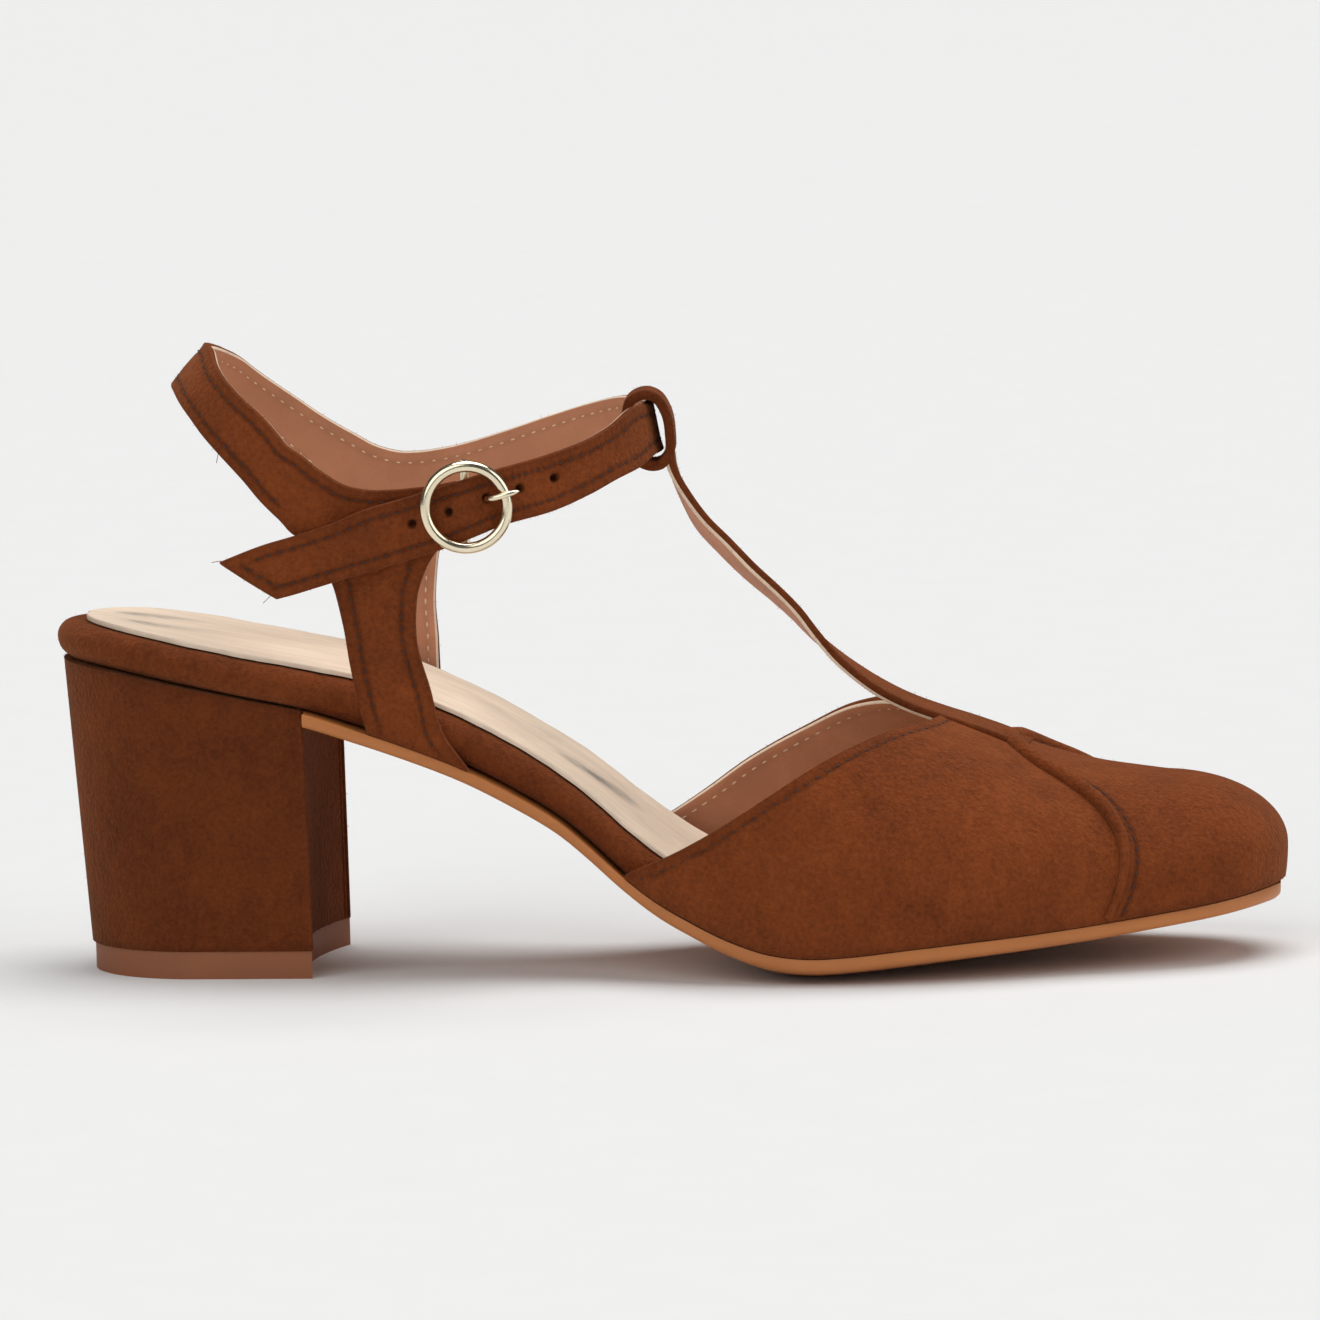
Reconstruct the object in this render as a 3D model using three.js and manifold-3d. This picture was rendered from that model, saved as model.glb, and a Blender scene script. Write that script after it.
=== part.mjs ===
// Right-foot T-strap court shoe with a covered block heel, standing empty on heel and forefoot.
// Millimetres. +X runs to the toe, +Y to the inner side of the foot, +Z up.
// The origin lies on the floor under the middle of the heel.
import * as THREE from "three";
import { mergeVertices } from "three/addons/utils/BufferGeometryUtils.js";
import Module from "manifold-3d";

const wasm = await Module();
wasm.setup();

// Last
const shoeLength = 244;
const seatBack = -30;
const ballWidth = 76.6;
const heelHeight = 62.4;
const toeSpring = 9.1;
const instepHeight = 104;
const toeHeight = 35.7;
const toeRadius = 24;
const toeShift = 7;
const crownDepth = 2.7;

// Materials' thicknesses and the clearance between pieces
const wall = 2;
const clearance = 0.35;
const outsoleThickness = 2.6;
const sockThickness = 1;
const sockMargin = 3.3;
const sockBackMargin = 6;
const bedThickness = 9.8;
const capProud = 0.6;
const ridgeProud = 1.1;
const ridgeWidth = 1.8;
const bandThickness = 2;
const instepStrapThickness = 1.9;
const loopThickness = 1.9;

// Heel
const liftHeight = 5.5;
const liftBack = 24.2;
const liftHalf = 23;
const heelBaseBack = 24.8;
const heelBaseHalf = 23.2;
const heelTopBack = 28.8;
const heelTopHalf = 24.4;
const breastBase = 23.2;
const breastTop = 22.6;
const breastHollow = 4;

// Straps and buckle
const strapHeight = 124.5;
const strapWidth = 10;
const instepStrapWidth = 11;
const loopWidth = 10;
const loopTurn = 6;
const ringRadius = 8;
const wireRadius = 1.1;
const barRadius = 0.8;
const prongRadius = 0.6;
const holeRadius = 1;
const barTurn = 71;
const foldThickness = 1;

// Small arithmetic
const radians = Math.PI / 180;
const mix = (a, b, t) => a + (b - a) * t;
const clamp01 = (t) => Math.min(1, Math.max(0, t));
const ease = (t) => clamp01(t) ** 2 * (3 - 2 * clamp01(t));
const at = (share) => seatBack + share * shoeLength;
const shareOf = (x) => (x - seatBack) / shoeLength;
const steps = (count) => Array.from({ length: count + 1 }, (_, i) => i / count);

// Smooth curve through one column of a table, along its first column
function curve(columns, rows, column) {
  const k = columns.indexOf(column);
  const t = rows.map((row) => row[0]);
  const v = rows.map((row) => row[k]);
  const last = t.length - 1;
  const slope = v.map((_, i) => {
    const a = Math.max(0, i - 1);
    const b = Math.min(last, i + 1);
    return (v[b] - v[a]) / (t[b] - t[a]);
  });
  return (s) => {
    let i = 0;
    while (i < last - 1 && s > t[i + 1]) i += 1;
    const step = t[i + 1] - t[i];
    const u = clamp01((s - t[i]) / step);
    const rise = v[i + 1] - v[i];
    const a = slope[i] * step - rise;
    const b = rise - slope[i + 1] * step;
    return v[i] + u * rise + u * (1 - u) * (a * (1 - u) + b * u);
  };
}

// Side line of the sole: its edge falls from the heel seat to the ball, then springs to the toe.
// at: share of the length. fall: share of the heel height. spring: share of the toe spring.
// bed: share of the footbed's thickness. crown: share of the crown under the forefoot.
const soleColumns = ["at", "fall", "spring", "bed", "crown"];
const soleRows = [
  [0.0, 1.0, 0, 0.93, 0],
  [0.053, 0.977, 0, 0.92, 0],
  [0.102, 0.939, 0, 0.93, 0],
  [0.164, 0.885, 0, 0.93, 0],
  [0.217, 0.838, 0, 0.95, 0],
  [0.262, 0.775, 0, 1.07, 0],
  [0.303, 0.711, 0, 1.08, 0],
  [0.346, 0.635, 0, 1.06, 0],
  [0.389, 0.54, 0, 1.03, 0],
  [0.422, 0.457, 0, 1.0, 0.1],
  [0.447, 0.373, 0, 1.02, 0.2],
  [0.475, 0.271, 0, 1.03, 0.4],
  [0.504, 0.182, 0, 1.0, 0.7],
  [0.533, 0.116, 0, 0.9, 1.0],
  [0.561, 0.061, 0, 0.76, 1.2],
  [0.594, 0.016, 0, 0.66, 1.35],
  [0.627, 0, 0, 0.6, 1.3],
  [0.664, 0, 0.044, 0.55, 1.25],
  [0.705, 0, 0.154, 0.5, 1.25],
  [0.75, 0, 0.253, 0.47, 1.1],
  [0.807, 0, 0.363, 0.45, 0.9],
  [0.865, 0, 0.505, 0.44, 0.7],
  [0.934, 0, 0.725, 0.43, 0.4],
  [1.0, 0, 1.0, 0.43, 0.2],
];
const fallAt = curve(soleColumns, soleRows, "fall");
const springAt = curve(soleColumns, soleRows, "spring");
const bedAt = curve(soleColumns, soleRows, "bed");
const crownAt = curve(soleColumns, soleRows, "crown");
const ballEdge = outsoleThickness + crownDepth;
const crownPower = 2.6;

function edgeHeight(x) {
  const s = shareOf(x);
  return ballEdge + fallAt(s) * (heelHeight - ballEdge) + springAt(s) * toeSpring;
}

// Clearance over a sloping top, measured upright
const slopeStep = 0.5;
function slopedClearance(x) {
  const slope = (edgeHeight(x + slopeStep) - edgeHeight(x - slopeStep)) / (2 * slopeStep);
  return clearance * Math.hypot(1, slope);
}

const sockTop = (x) => edgeHeight(x) + bedAt(shareOf(x)) * bedThickness;
const insoleTop = (x) => sockTop(x) - sockThickness - slopedClearance(x);

// Plan of the upper's foot line, outer and inner side, as shares of half the ball width
const planColumns = ["at", "outer", "inner"];
const planRows = [
  [0.148, 0.728, 0.728],
  [0.18, 0.736, 0.736],
  [0.23, 0.728, 0.715],
  [0.279, 0.702, 0.647],
  [0.328, 0.674, 0.577],
  [0.377, 0.668, 0.53],
  [0.426, 0.695, 0.512],
  [0.467, 0.752, 0.53],
  [0.508, 0.825, 0.595],
  [0.549, 0.896, 0.695],
  [0.59, 0.956, 0.799],
  [0.631, 0.992, 0.89],
  [0.672, 0.99, 0.958],
  [0.713, 0.953, 0.997],
  [0.754, 0.885, 1.003],
  [0.795, 0.789, 0.979],
  [0.836, 0.676, 0.93],
  [0.881, 0.546, 0.859],
];
const toeTurn = { outer: 24.8 * radians, inner: 15 * radians };
const sideSign = { outer: -1, inner: 1 };
const footTuck = 1.2;
const toeCentre = at(1) - footTuck - toeRadius;
const sideHalf = {};
for (const side of ["outer", "inner"]) {
  const reach = toeRadius * Math.cos(toeTurn[side]);
  const touch = toeCentre + toeRadius * Math.sin(toeTurn[side]);
  const end = (reach + sideSign[side] * toeShift) / (ballWidth / 2);
  const rows = [...planRows.map((row) => [...row]), [shareOf(touch), end, end]];
  sideHalf[side] = curve(planColumns, rows, side);
}

// Distance of the foot line from the centre line, moved in by an inset
const seatCentre = at(planRows[0][0]);
const skin = wall + clearance;
const seatLong = seatCentre - seatBack + skin;
function edgeY(side, x, inset, backInset = inset) {
  const sign = sideSign[side];
  const half = (px) => sideHalf[side](shareOf(px)) * (ballWidth / 2);
  const radius = toeRadius - inset;
  const touch = toeCentre + radius * Math.sin(toeTurn[side]);
  if (x > touch) {
    const reach = Math.sqrt(Math.max(0, radius ** 2 - (x - toeCentre) ** 2));
    return toeShift + sign * reach;
  }
  if (x < seatCentre) {
    const long = seatLong - backInset;
    const wide = half(seatCentre) - inset;
    return sign * wide * Math.sqrt(Math.max(0, 1 - ((x - seatCentre) / long) ** 2));
  }
  const slope = (half(x + slopeStep) - half(x - slopeStep)) / (2 * slopeStep);
  return sign * (half(x) - inset * Math.sqrt(1 + slope ** 2));
}

// Instep line of the upper: rise as a share of the instep above the toe, sideways shift in mm
const crestColumns = ["at", "rise", "shift"];
const crestRows = [
  [0.467, 1.0, 0],
  [0.512, 0.837, 0],
  [0.561, 0.638, 0.5],
  [0.615, 0.445, 1],
  [0.672, 0.2825, 2],
  [0.725, 0.191, 3],
  [0.77, 0.1228, 4],
  [0.803, 0.068, 4.8],
  [0.84, 0.034, 5.6],
  [0.871, 0.0148, 6.4],
  [0.897, 0, 7],
];
const crestRise = curve(crestColumns, crestRows, "rise");
const crestShift = curve(crestColumns, crestRows, "shift");
function crestPoint(x) {
  const s = shareOf(x);
  const shift = crestShift(s) * (toeShift / 7);
  return new THREE.Vector3(x, shift, mix(toeHeight, instepHeight, crestRise(s)));
}

// Half section of the upper from its foot (up = 0) over the widest level to the instep (up = 1)
const widestUp = 0.2;
const widestRise = 7;
const ballPower = 2.35;
const toePower = 2;
const capStart = at(0.75);
const capFull = at(0.88);
function sectionPoint(foot, crest, up) {
  const plan = new THREE.Vector3(foot.x - crest.x, foot.y - crest.y, 0);
  const reach = plan.length();
  const out = plan.divideScalar(Math.max(reach, 1e-6));
  const forward = ease((foot.x - capStart) / (capFull - capStart));
  const tuck = footTuck - capProud * forward;
  const power = mix(ballPower, toePower, forward);
  if (up <= widestUp) {
    const u = up / widestUp;
    const radius = reach + tuck * (1 - (1 - u) ** 2);
    const z = foot.z + widestRise * u;
    return new THREE.Vector3(crest.x + out.x * radius, crest.y + out.y * radius, z);
  }
  const turn = ((up - widestUp) / (1 - widestUp)) * (Math.PI / 2);
  const widest = foot.z + widestRise;
  const radius = (reach + tuck) * Math.max(0, Math.cos(turn)) ** (2 / power);
  const z = mix(widest, crest.z, Math.sin(turn) ** (2 / power));
  if (up >= 1) return crest.clone();
  return new THREE.Vector3(crest.x + out.x * radius, crest.y + out.y * radius, z);
}

// Sections stand square to the shoe up to the ball and swing round to the toe centre after it
const swingStart = at(0.738);
function footPoint(side, crestX) {
  const touch = toeCentre + toeRadius * Math.sin(toeTurn[side]);
  const swing = (touch - swingStart) / (toeCentre - swingStart);
  const x = crestX <= swingStart ? crestX : swingStart + (crestX - swingStart) * swing;
  return new THREE.Vector3(x, edgeY(side, x, 0), edgeHeight(x) + slopedClearance(x));
}

function bodyPoint(side, crestX, up) {
  return sectionPoint(footPoint(side, crestX), crestPoint(crestX), up);
}

function toePoint(turn, up) {
  const x = toeCentre + toeRadius * Math.sin(turn);
  const y = toeShift - toeRadius * Math.cos(turn);
  const foot = new THREE.Vector3(x, y, edgeHeight(x) + slopedClearance(x));
  return sectionPoint(foot, crestPoint(toeCentre), up);
}

// Topline of the wings in side view, height as a share of the throat's height
const throatX = at(0.725);
const throatHeight = crestPoint(throatX).z;
const toplineColumns = ["at", "outer", "inner"];
const toplineRows = [
  [0.43, 0.29, 0.4],
  [0.463, 0.385, 0.479],
  [0.475, 0.419, 0.507],
  [0.49, 0.457, 0.548],
  [0.516, 0.513, 0.632],
  [0.552, 0.611, 0.756],
  [0.594, 0.741, 0.869],
  [0.635, 0.868, 0.972],
  [0.664, 0.939, 1.013],
  [0.693, 0.985, 1.02],
  [0.725, 1.0, 1.0],
];
const toplineHeight = {
  outer: curve(toplineColumns, toplineRows, "outer"),
  inner: curve(toplineColumns, toplineRows, "inner"),
};
const halvings = 40;
function toplineX(side, up) {
  if (up >= 1) return throatX;
  let low = at(toplineRows[0][0]);
  let high = throatX;
  for (let i = 0; i < halvings; i += 1) {
    const x = (low + high) / 2;
    const above = bodyPoint(side, x, up).z > toplineHeight[side](shareOf(x)) * throatHeight;
    if (above) low = x;
    else high = x;
  }
  return (low + high) / 2;
}

// Seam between wings and toe cap, as a share of the length at each level of the section
const seamColumns = ["up", "at"];
const seamRows = [
  [0, 0.8365],
  [0.2, 0.846],
  [0.4, 0.849],
  [0.6, 0.839],
  [0.75, 0.8176],
  [0.85, 0.795],
  [0.93, 0.781],
  [1, 0.7746],
];
const seamShare = curve(seamColumns, seamRows, "at");
const seamX = (up) => at(seamShare(up));

// Closed solids from sheets of points: the sheet's faces, their edges walled in
function sheetFaces(grids) {
  const points = [];
  const keys = new Map();
  const faces = [];
  const index = (p) => {
    const key = [p.x, p.y, p.z].map((c) => Math.round(c * 1e4)).join(" ");
    if (!keys.has(key)) {
      keys.set(key, points.length);
      points.push(p.clone());
    }
    return keys.get(key);
  };
  for (const grid of grids) {
    for (let i = 0; i + 1 < grid.length; i += 1) {
      for (let j = 0; j + 1 < grid[i].length; j += 1) {
        const a = index(grid[i][j]);
        const b = index(grid[i + 1][j]);
        const c = index(grid[i + 1][j + 1]);
        const d = index(grid[i][j + 1]);
        for (const face of [[a, b, c], [a, c, d]]) {
          if (new Set(face).size === 3) faces.push(face);
        }
      }
    }
  }
  return { points, faces };
}

function sheetNormals({ points, faces }) {
  const normals = points.map(() => new THREE.Vector3());
  for (const [a, b, c] of faces) {
    const ab = points[b].clone().sub(points[a]);
    const ac = points[c].clone().sub(points[a]);
    const n = ab.cross(ac);
    for (const i of [a, b, c]) normals[i].add(n);
  }
  return normals.map((n) => n.normalize());
}

function solidGeometry(points, faces) {
  const geometry = new THREE.BufferGeometry();
  const flat = points.flatMap((p) => [p.x, p.y, p.z]);
  geometry.setAttribute("position", new THREE.Float32BufferAttribute(flat, 3));
  geometry.setIndex(faces.flat());
  return geometry;
}

// Sheet thickened from an outer to an inner face; each is a function of point and normal
function thicken(grids, outward, inward) {
  const sheet = sheetFaces(grids);
  const normals = sheetNormals(sheet);
  const count = sheet.points.length;
  const outer = sheet.points.map((p, i) => outward(p, normals[i]));
  const inner = sheet.points.map((p, i) => inward(p, normals[i]));
  const faces = [];
  const edges = new Map();
  for (const [a, b, c] of sheet.faces) {
    faces.push([a, b, c], [a + count, c + count, b + count]);
    for (const [p, q] of [[a, b], [b, c], [c, a]]) {
      if (!edges.delete(`${q} ${p}`)) edges.set(`${p} ${q}`, [p, q]);
    }
  }
  for (const [p, q] of edges.values()) {
    faces.push([p, p + count, q + count], [p, q + count, q]);
  }
  return solidGeometry([...outer, ...inner], faces);
}

const along = (distance) => (p, n) => p.clone().addScaledVector(n, distance);
const squareFoot = (distance) => (p, n) => {
  const level = new THREE.Vector3(n.x, n.y, Math.max(0, n.z)).normalize();
  return p.clone().addScaledVector(level, distance);
};

// Closed solid over rows along the shoe, shares across it and levels in its height
const turned = (list) => [...list].reverse();
function block(rows, shares, levels, point) {
  const grid = (first, second, place) => first.map((u) => second.map((v) => place(u, v)));
  const sheet = sheetFaces([
    grid(rows, shares, (row, share) => point(row, share, levels.at(-1))),
    grid(rows, turned(shares), (row, share) => point(row, share, levels[0])),
    grid(rows, levels, (row, level) => point(row, shares[0], level)),
    grid(rows, turned(levels), (row, level) => point(row, shares.at(-1), level)),
    grid(levels, shares, (level, share) => point(rows[0], share, level)),
    grid(shares, levels, (share, level) => point(rows.at(-1), share, level)),
  ]);
  return solidGeometry(sheet.points, sheet.faces);
}

function toManifold(geometry) {
  const plain = geometry.clone();
  plain.deleteAttribute("normal");
  plain.deleteAttribute("uv");
  const merged = mergeVertices(plain, 1e-4);
  const vertProperties = new Float32Array(merged.attributes.position.array);
  const triVerts = new Uint32Array(merged.index.array);
  return new wasm.Manifold(new wasm.Mesh({ numProp: 3, vertProperties, triVerts }));
}

function fromManifold(solid) {
  const { vertProperties, triVerts } = solid.getMesh();
  const geometry = new THREE.BufferGeometry();
  geometry.setAttribute("position", new THREE.BufferAttribute(vertProperties, 3));
  geometry.setIndex(new THREE.BufferAttribute(triVerts, 1));
  return geometry;
}

function node(name, geometry, color, roughness, metalness = 0) {
  const shown = geometry.clone();
  shown.computeVertexNormals();
  const material = new THREE.MeshStandardMaterial({ color, roughness, metalness });
  const mesh = new THREE.Mesh(shown, material);
  mesh.name = name;
  return mesh;
}

// Rows along the shoe, each the distance X at an inset from the foot line
const endTurns = [18, 36, 52, 66, 78, 90];
const seatRows = turned(endTurns).map((turn) => (inset, backInset = inset) => (
  seatCentre - (seatLong - backInset) * Math.sin(turn * radians)
));
const toeRows = endTurns.map((turn) => (inset) => (
  toeCentre + (toeRadius - inset) * Math.sin(turn * radians)
));
const bodyRows = (start, end, count) => (
  steps(count).map((t) => () => mix(start, end, t))
);
const across = [-1, -0.8, -0.43, 0, 0.43, 0.8, 1];

// Top of the outsole: as high as its edge, lower in the middle under the ball
const outsoleInset = clearance;
function bedHeight(x, y) {
  const left = edgeY("outer", x, outsoleInset);
  const right = edgeY("inner", x, outsoleInset);
  const share = right > left ? clamp01(Math.abs((2 * y - left - right) / (right - left))) : 1;
  return edgeHeight(x) - crownAt(shareOf(x)) * crownDepth * (1 - share ** crownPower);
}

// Outsole from the heel's breast to the toe, its lower edge rounded
const breastX = (y, rise) => {
  const half = mix(heelBaseHalf, heelTopHalf, rise);
  return mix(breastBase, breastTop, rise) - breastHollow * (1 - clamp01(Math.abs(y) / half) ** 2);
};
const outsoleStart = breastTop + 2 * clearance;
const breastFade = 14;
const forwardRows = [...bodyRows(outsoleStart, toeCentre, 28), ...toeRows];
const allRows = [...seatRows, ...bodyRows(seatCentre, outsoleStart, 3).slice(0, -1), ...forwardRows];
const outsoleLevels = [
  { inset: 0.8, rise: 0 },
  { inset: 0, rise: 0.4 },
  { inset: 0, rise: 1 },
];
const outsole = block(forwardRows, across, outsoleLevels, (row, share, level) => {
  const inset = outsoleInset + level.inset;
  const station = row(inset);
  const y = mix(edgeY("outer", station, inset), edgeY("inner", station, inset), (share + 1) / 2);
  const fade = clamp01(1 - (station - outsoleStart) / breastFade);
  const x = station + (breastX(y, 1) + 2 * clearance - outsoleStart) * fade;
  const top = bedHeight(x, y);
  return new THREE.Vector3(x, y, Math.max(0, top - outsoleThickness * (1 - level.rise)));
});

// Footbed with a padded, rounded rim, lying on outsole and heel
const roundTurns = [-90, -45, 0, 45, 90];
const insole = block(allRows, across, roundTurns, (row, share, turn) => {
  const rim = row(skin);
  const round = (insoleTop(rim) - edgeHeight(rim) - clearance) / 2;
  const inset = skin + round * (1 - Math.cos(turn * radians));
  const x = row(inset);
  const y = mix(edgeY("outer", x, inset), edgeY("inner", x, inset), (share + 1) / 2);
  const bottom = bedHeight(x, y) + slopedClearance(x);
  return new THREE.Vector3(x, y, mix(bottom, insoleTop(x), (1 + Math.sin(turn * radians)) / 2));
});

// Sock lying on the footbed, short of its rim
const sockInset = skin + sockMargin;
const sockBackInset = skin + sockBackMargin;
const sock = block(allRows, [-1, 0, 1], [1, 0], (row, share, depth) => {
  const x = row(sockInset, sockBackInset);
  const left = edgeY("outer", x, sockInset, sockBackInset);
  const right = edgeY("inner", x, sockInset, sockBackInset);
  return new THREE.Vector3(x, mix(left, right, (share + 1) / 2), sockTop(x) - depth * sockThickness);
});

// Heel: half an ellipse behind, straight sides, a hollow breast in front
const heelRows = [
  ...turned(endTurns).map((turn) => ({ turn, reach: 0 })),
  ...[0, 0.3, 0.6, 0.85, 1].map((reach) => ({ turn: 0, reach })),
];
function heelPoint(row, share, back, half, rise, height) {
  const y = share * half * Math.cos(row.turn * radians);
  const front = breastX(y, rise) * row.reach;
  const x = row.turn > 0 ? -back * Math.sin(row.turn * radians) : front;
  return new THREE.Vector3(x, y, height(x));
}
const heelBlock = block(heelRows, across, steps(3), (row, share, rise) => {
  const back = mix(heelBaseBack, heelTopBack, rise);
  const half = mix(heelBaseHalf, heelTopHalf, rise);
  const height = (x) => mix(liftHeight, edgeHeight(x), rise);
  return heelPoint(row, share, back, half, rise, height);
});
const topLift = block(heelRows, across, [0, 1], (row, share, level) => (
  heelPoint(row, share, liftBack, liftHalf, 0, () => level * liftHeight)
));

// Upper: closed toe and low wings, cut off at the topline
const levels = [0, 0.1, 0.2, 0.32, 0.45, 0.57, 0.69, 0.8, 0.89, 0.95, 1];
const fanTurns = (count) => (
  steps(count).map((t) => mix(toeTurn.outer, Math.PI - toeTurn.inner, t))
);
function upperGrid(startX, bodyCount, fanCount, chosen) {
  const body = (side) => steps(bodyCount).slice(0, -1).map((t) => (
    chosen.map((up) => bodyPoint(side, mix(startX(side, up), toeCentre, t), up))
  ));
  const fan = fanTurns(fanCount).map((turn) => chosen.map((up) => toePoint(turn, up)));
  return [...body("outer"), ...fan, ...turned(body("inner"))];
}
const vamp = thicken([upperGrid(toplineX, 16, 10, levels)], squareFoot(0), squareFoot(-wall));

// Toe cap laid on the wings, with a folded ridge along its seam
const embed = wall * 0.4;
const capLevels = [0.012, ...levels.slice(1)];
const cap = thicken(
  [upperGrid((side, up) => seamX(up), 6, 10, capLevels)],
  squareFoot(capProud),
  squareFoot(-embed),
);
const ridgeGrid = (side) => [-0.2, 0.8].map((t) => (
  capLevels.map((up) => bodyPoint(side, seamX(up) + t * ridgeWidth, up))
));
const ridge = thicken(
  [ridgeGrid("outer"), turned(ridgeGrid("inner"))],
  squareFoot(ridgeProud),
  squareFoot(-embed / 2),
);

// Ankle: the form the straps lie on, level by level.
// height: share of the straps' height. back, front: share of the length from the heel's middle.
// outer, inner: share of half the ball width.
const ankleColumns = ["height", "back", "front", "outer", "inner"];
const ankleRows = [
  [0.361, -0.082, 0.459, 0.71, 0.666],
  [0.482, -0.0779, 0.4385, 0.731, 0.705],
  [0.602, -0.0738, 0.42, 0.765, 0.757],
  [0.723, -0.0676, 0.3943, 0.804, 0.804],
  [0.815, -0.0553, 0.3746, 0.809, 0.809],
  [0.892, -0.0348, 0.3664, 0.809, 0.809],
  [0.937, -0.0201, 0.3607, 0.796, 0.796],
  [0.998, 0.0066, 0.3484, 0.757, 0.757],
];
const ankle = {};
for (const column of ankleColumns.slice(1)) ankle[column] = curve(ankleColumns, ankleRows, column);
const frontPull = 0.9;
const frontPower = 20;
const backPull = 2;
const backPower = 7;
function anklePoint(turn, height, out) {
  const level = height / strapHeight;
  const back = ankle.back(level) * shoeLength;
  const front = ankle.front(level) * shoeLength;
  const long = (front - back) / 2;
  const cos = Math.cos(turn * radians);
  const sin = Math.sin(turn * radians);
  const wide = ankle[sin >= 0 ? "outer" : "inner"](level) * (ballWidth / 2);
  const normal = new THREE.Vector3(cos / long, -sin / wide, 0).normalize();
  const pull = frontPull * Math.max(0, cos) ** frontPower - backPull * Math.max(0, -cos) ** backPower;
  const onForm = new THREE.Vector3(back + long + long * cos - pull, -wide * sin, height);
  return onForm.addScaledVector(normal, out);
}

// One band from the buckle tab round the back and the inner side, through the loop and
// the buckle to its free tip. Turns in degrees from the front over the outer side.
// Heights: share of the straps' height. out: middle of the band off the form, in thicknesses.
const bandColumns = ["step", "lowTurn", "low", "highTurn", "high", "out"];
const bandRows = [
  [72, 0.723, 72, 0.7936, 0.5],
  [75.5, 0.7108, 76, 0.7888, 0.5],
  [80.5, 0.7036, 81, 0.7847, 0.5],
  [85.5, 0.702, 86, 0.7823, 0.5],
  [90.5, 0.7028, 91, 0.7831, 0.5],
  [95.5, 0.706, 95.8, 0.792, 0.5],
  [101, 0.7084, 100.8, 0.8145, 0.5],
  [106.2, 0.7141, 105.5, 0.8378, 0.5],
  [109.5, 0.739, 109.5, 0.853, 0.5],
  [113.5, 0.7671, 113.5, 0.8755, 0.5],
  [118.5, 0.8024, 119, 0.9012, 0.5],
  [124.5, 0.8329, 125.5, 0.9229, 0.5],
  [132.5, 0.8643, 133.5, 0.9462, 0.5],
  [143, 0.898, 144, 0.9711, 0.5],
  [156, 0.923, 156, 0.993, 0.5],
  [168, 0.931, 168, 0.997, 0.5],
  [180, 0.932, 180, 0.993, 0.5],
  [192, 0.927, 193, 0.986, 0.5],
  [203, 0.9173, 205, 0.9743, 0.5],
  [216, 0.8884, 216, 0.9566, 0.5],
  [226, 0.8586, 228, 0.9237, 0.5],
  [235, 0.8233, 238, 0.89, 0.5],
  [244, 0.7743, 247, 0.8554, 0.5],
  [253.6, 0.71, 255.5, 0.8233, 0.5],
  [258, 0.7052, 260, 0.8056, 0.5],
  [262.5, 0.702, 265, 0.7944, 0.5],
  [267, 0.702, 269.5, 0.7936, 0.5],
  [271.5, 0.706, 274, 0.7976, 0.5],
  [276, 0.7116, 279, 0.8048, 0.5],
  [281, 0.7213, 284, 0.8145, 0.5],
  [289, 0.739, 291, 0.8297, 0.5],
  [300, 0.7647, 301, 0.8514, 0.5],
  [313, 0.7904, 313.5, 0.8739, 0.5],
  [326.5, 0.8064, 327, 0.8892, 0.5],
  [343, 0.8137, 343, 0.892, 0.5],
  [360, 0.8153, 360, 0.89, 0.5],
  [370.5, 0.8137, 370, 0.891, 0.5],
  [380, 0.8024, 379.5, 0.8884, 0.6],
  [392, 0.788, 391, 0.8651, 0.9],
  [402, 0.7687, 401, 0.8458, 1.25],
  [413, 0.7462, 412, 0.8281, 1.55],
  [424, 0.7293, 424, 0.8104, 1.85],
  [431, 0.7116, 431, 0.7968, 2.2],
  [436, 0.6972, 436, 0.7863, 1.85],
  [442.5, 0.6819, 443, 0.7711, 1.7],
  [450, 0.6643, 451, 0.7542, 1.7],
  [456.5, 0.6498, 458.5, 0.7309, 1.7],
  [462.5, 0.6353, 466, 0.7124, 1.95],
  [466.8, 0.6249, 473, 0.6964, 2.3],
  [470.5, 0.6169, 481.5, 0.6715, 2.65],
].map((row, step) => [step, ...row]);
const band = {};
for (const column of bandColumns.slice(1)) band[column] = curve(bandColumns, bandRows, column);
function bandPoint(step, share) {
  const turn = mix(band.lowTurn(step), band.highTurn(step), share);
  const height = mix(band.low(step), band.high(step), share) * strapHeight;
  return anklePoint(turn, height, band.out(step) * bandThickness);
}

// Posts from the band down to the outsole. down: share of the way from band to foot.
// back, front: edges, as shares of the length from the heel's middle.
const postColumns = ["down", "back", "front"];
const posts = {
  outer: {
    first: 1,
    last: 7,
    rows: [
      [0, 0.0988, 0.2217],
      [0.09, 0.1143, 0.2066],
      [0.19, 0.123, 0.1971],
      [0.28, 0.1287, 0.1926],
      [0.465, 0.1344, 0.191],
      [0.65, 0.1373, 0.1984],
      [0.84, 0.1422, 0.207],
      [1, 0.1484, 0.2275],
    ],
  },
  inner: {
    first: 23,
    last: 29,
    rows: [
      [0, 0.0988, 0.207],
      [0.09, 0.1078, 0.1852],
      [0.19, 0.1119, 0.1758],
      [0.28, 0.1139, 0.1717],
      [0.465, 0.1148, 0.1697],
      [0.65, 0.1148, 0.1734],
      [0.84, 0.1156, 0.1754],
      [1, 0.116, 0.177],
    ],
  },
};
const blendLow = 0.418 * strapHeight;
const blendHigh = 0.602 * strapHeight;
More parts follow.
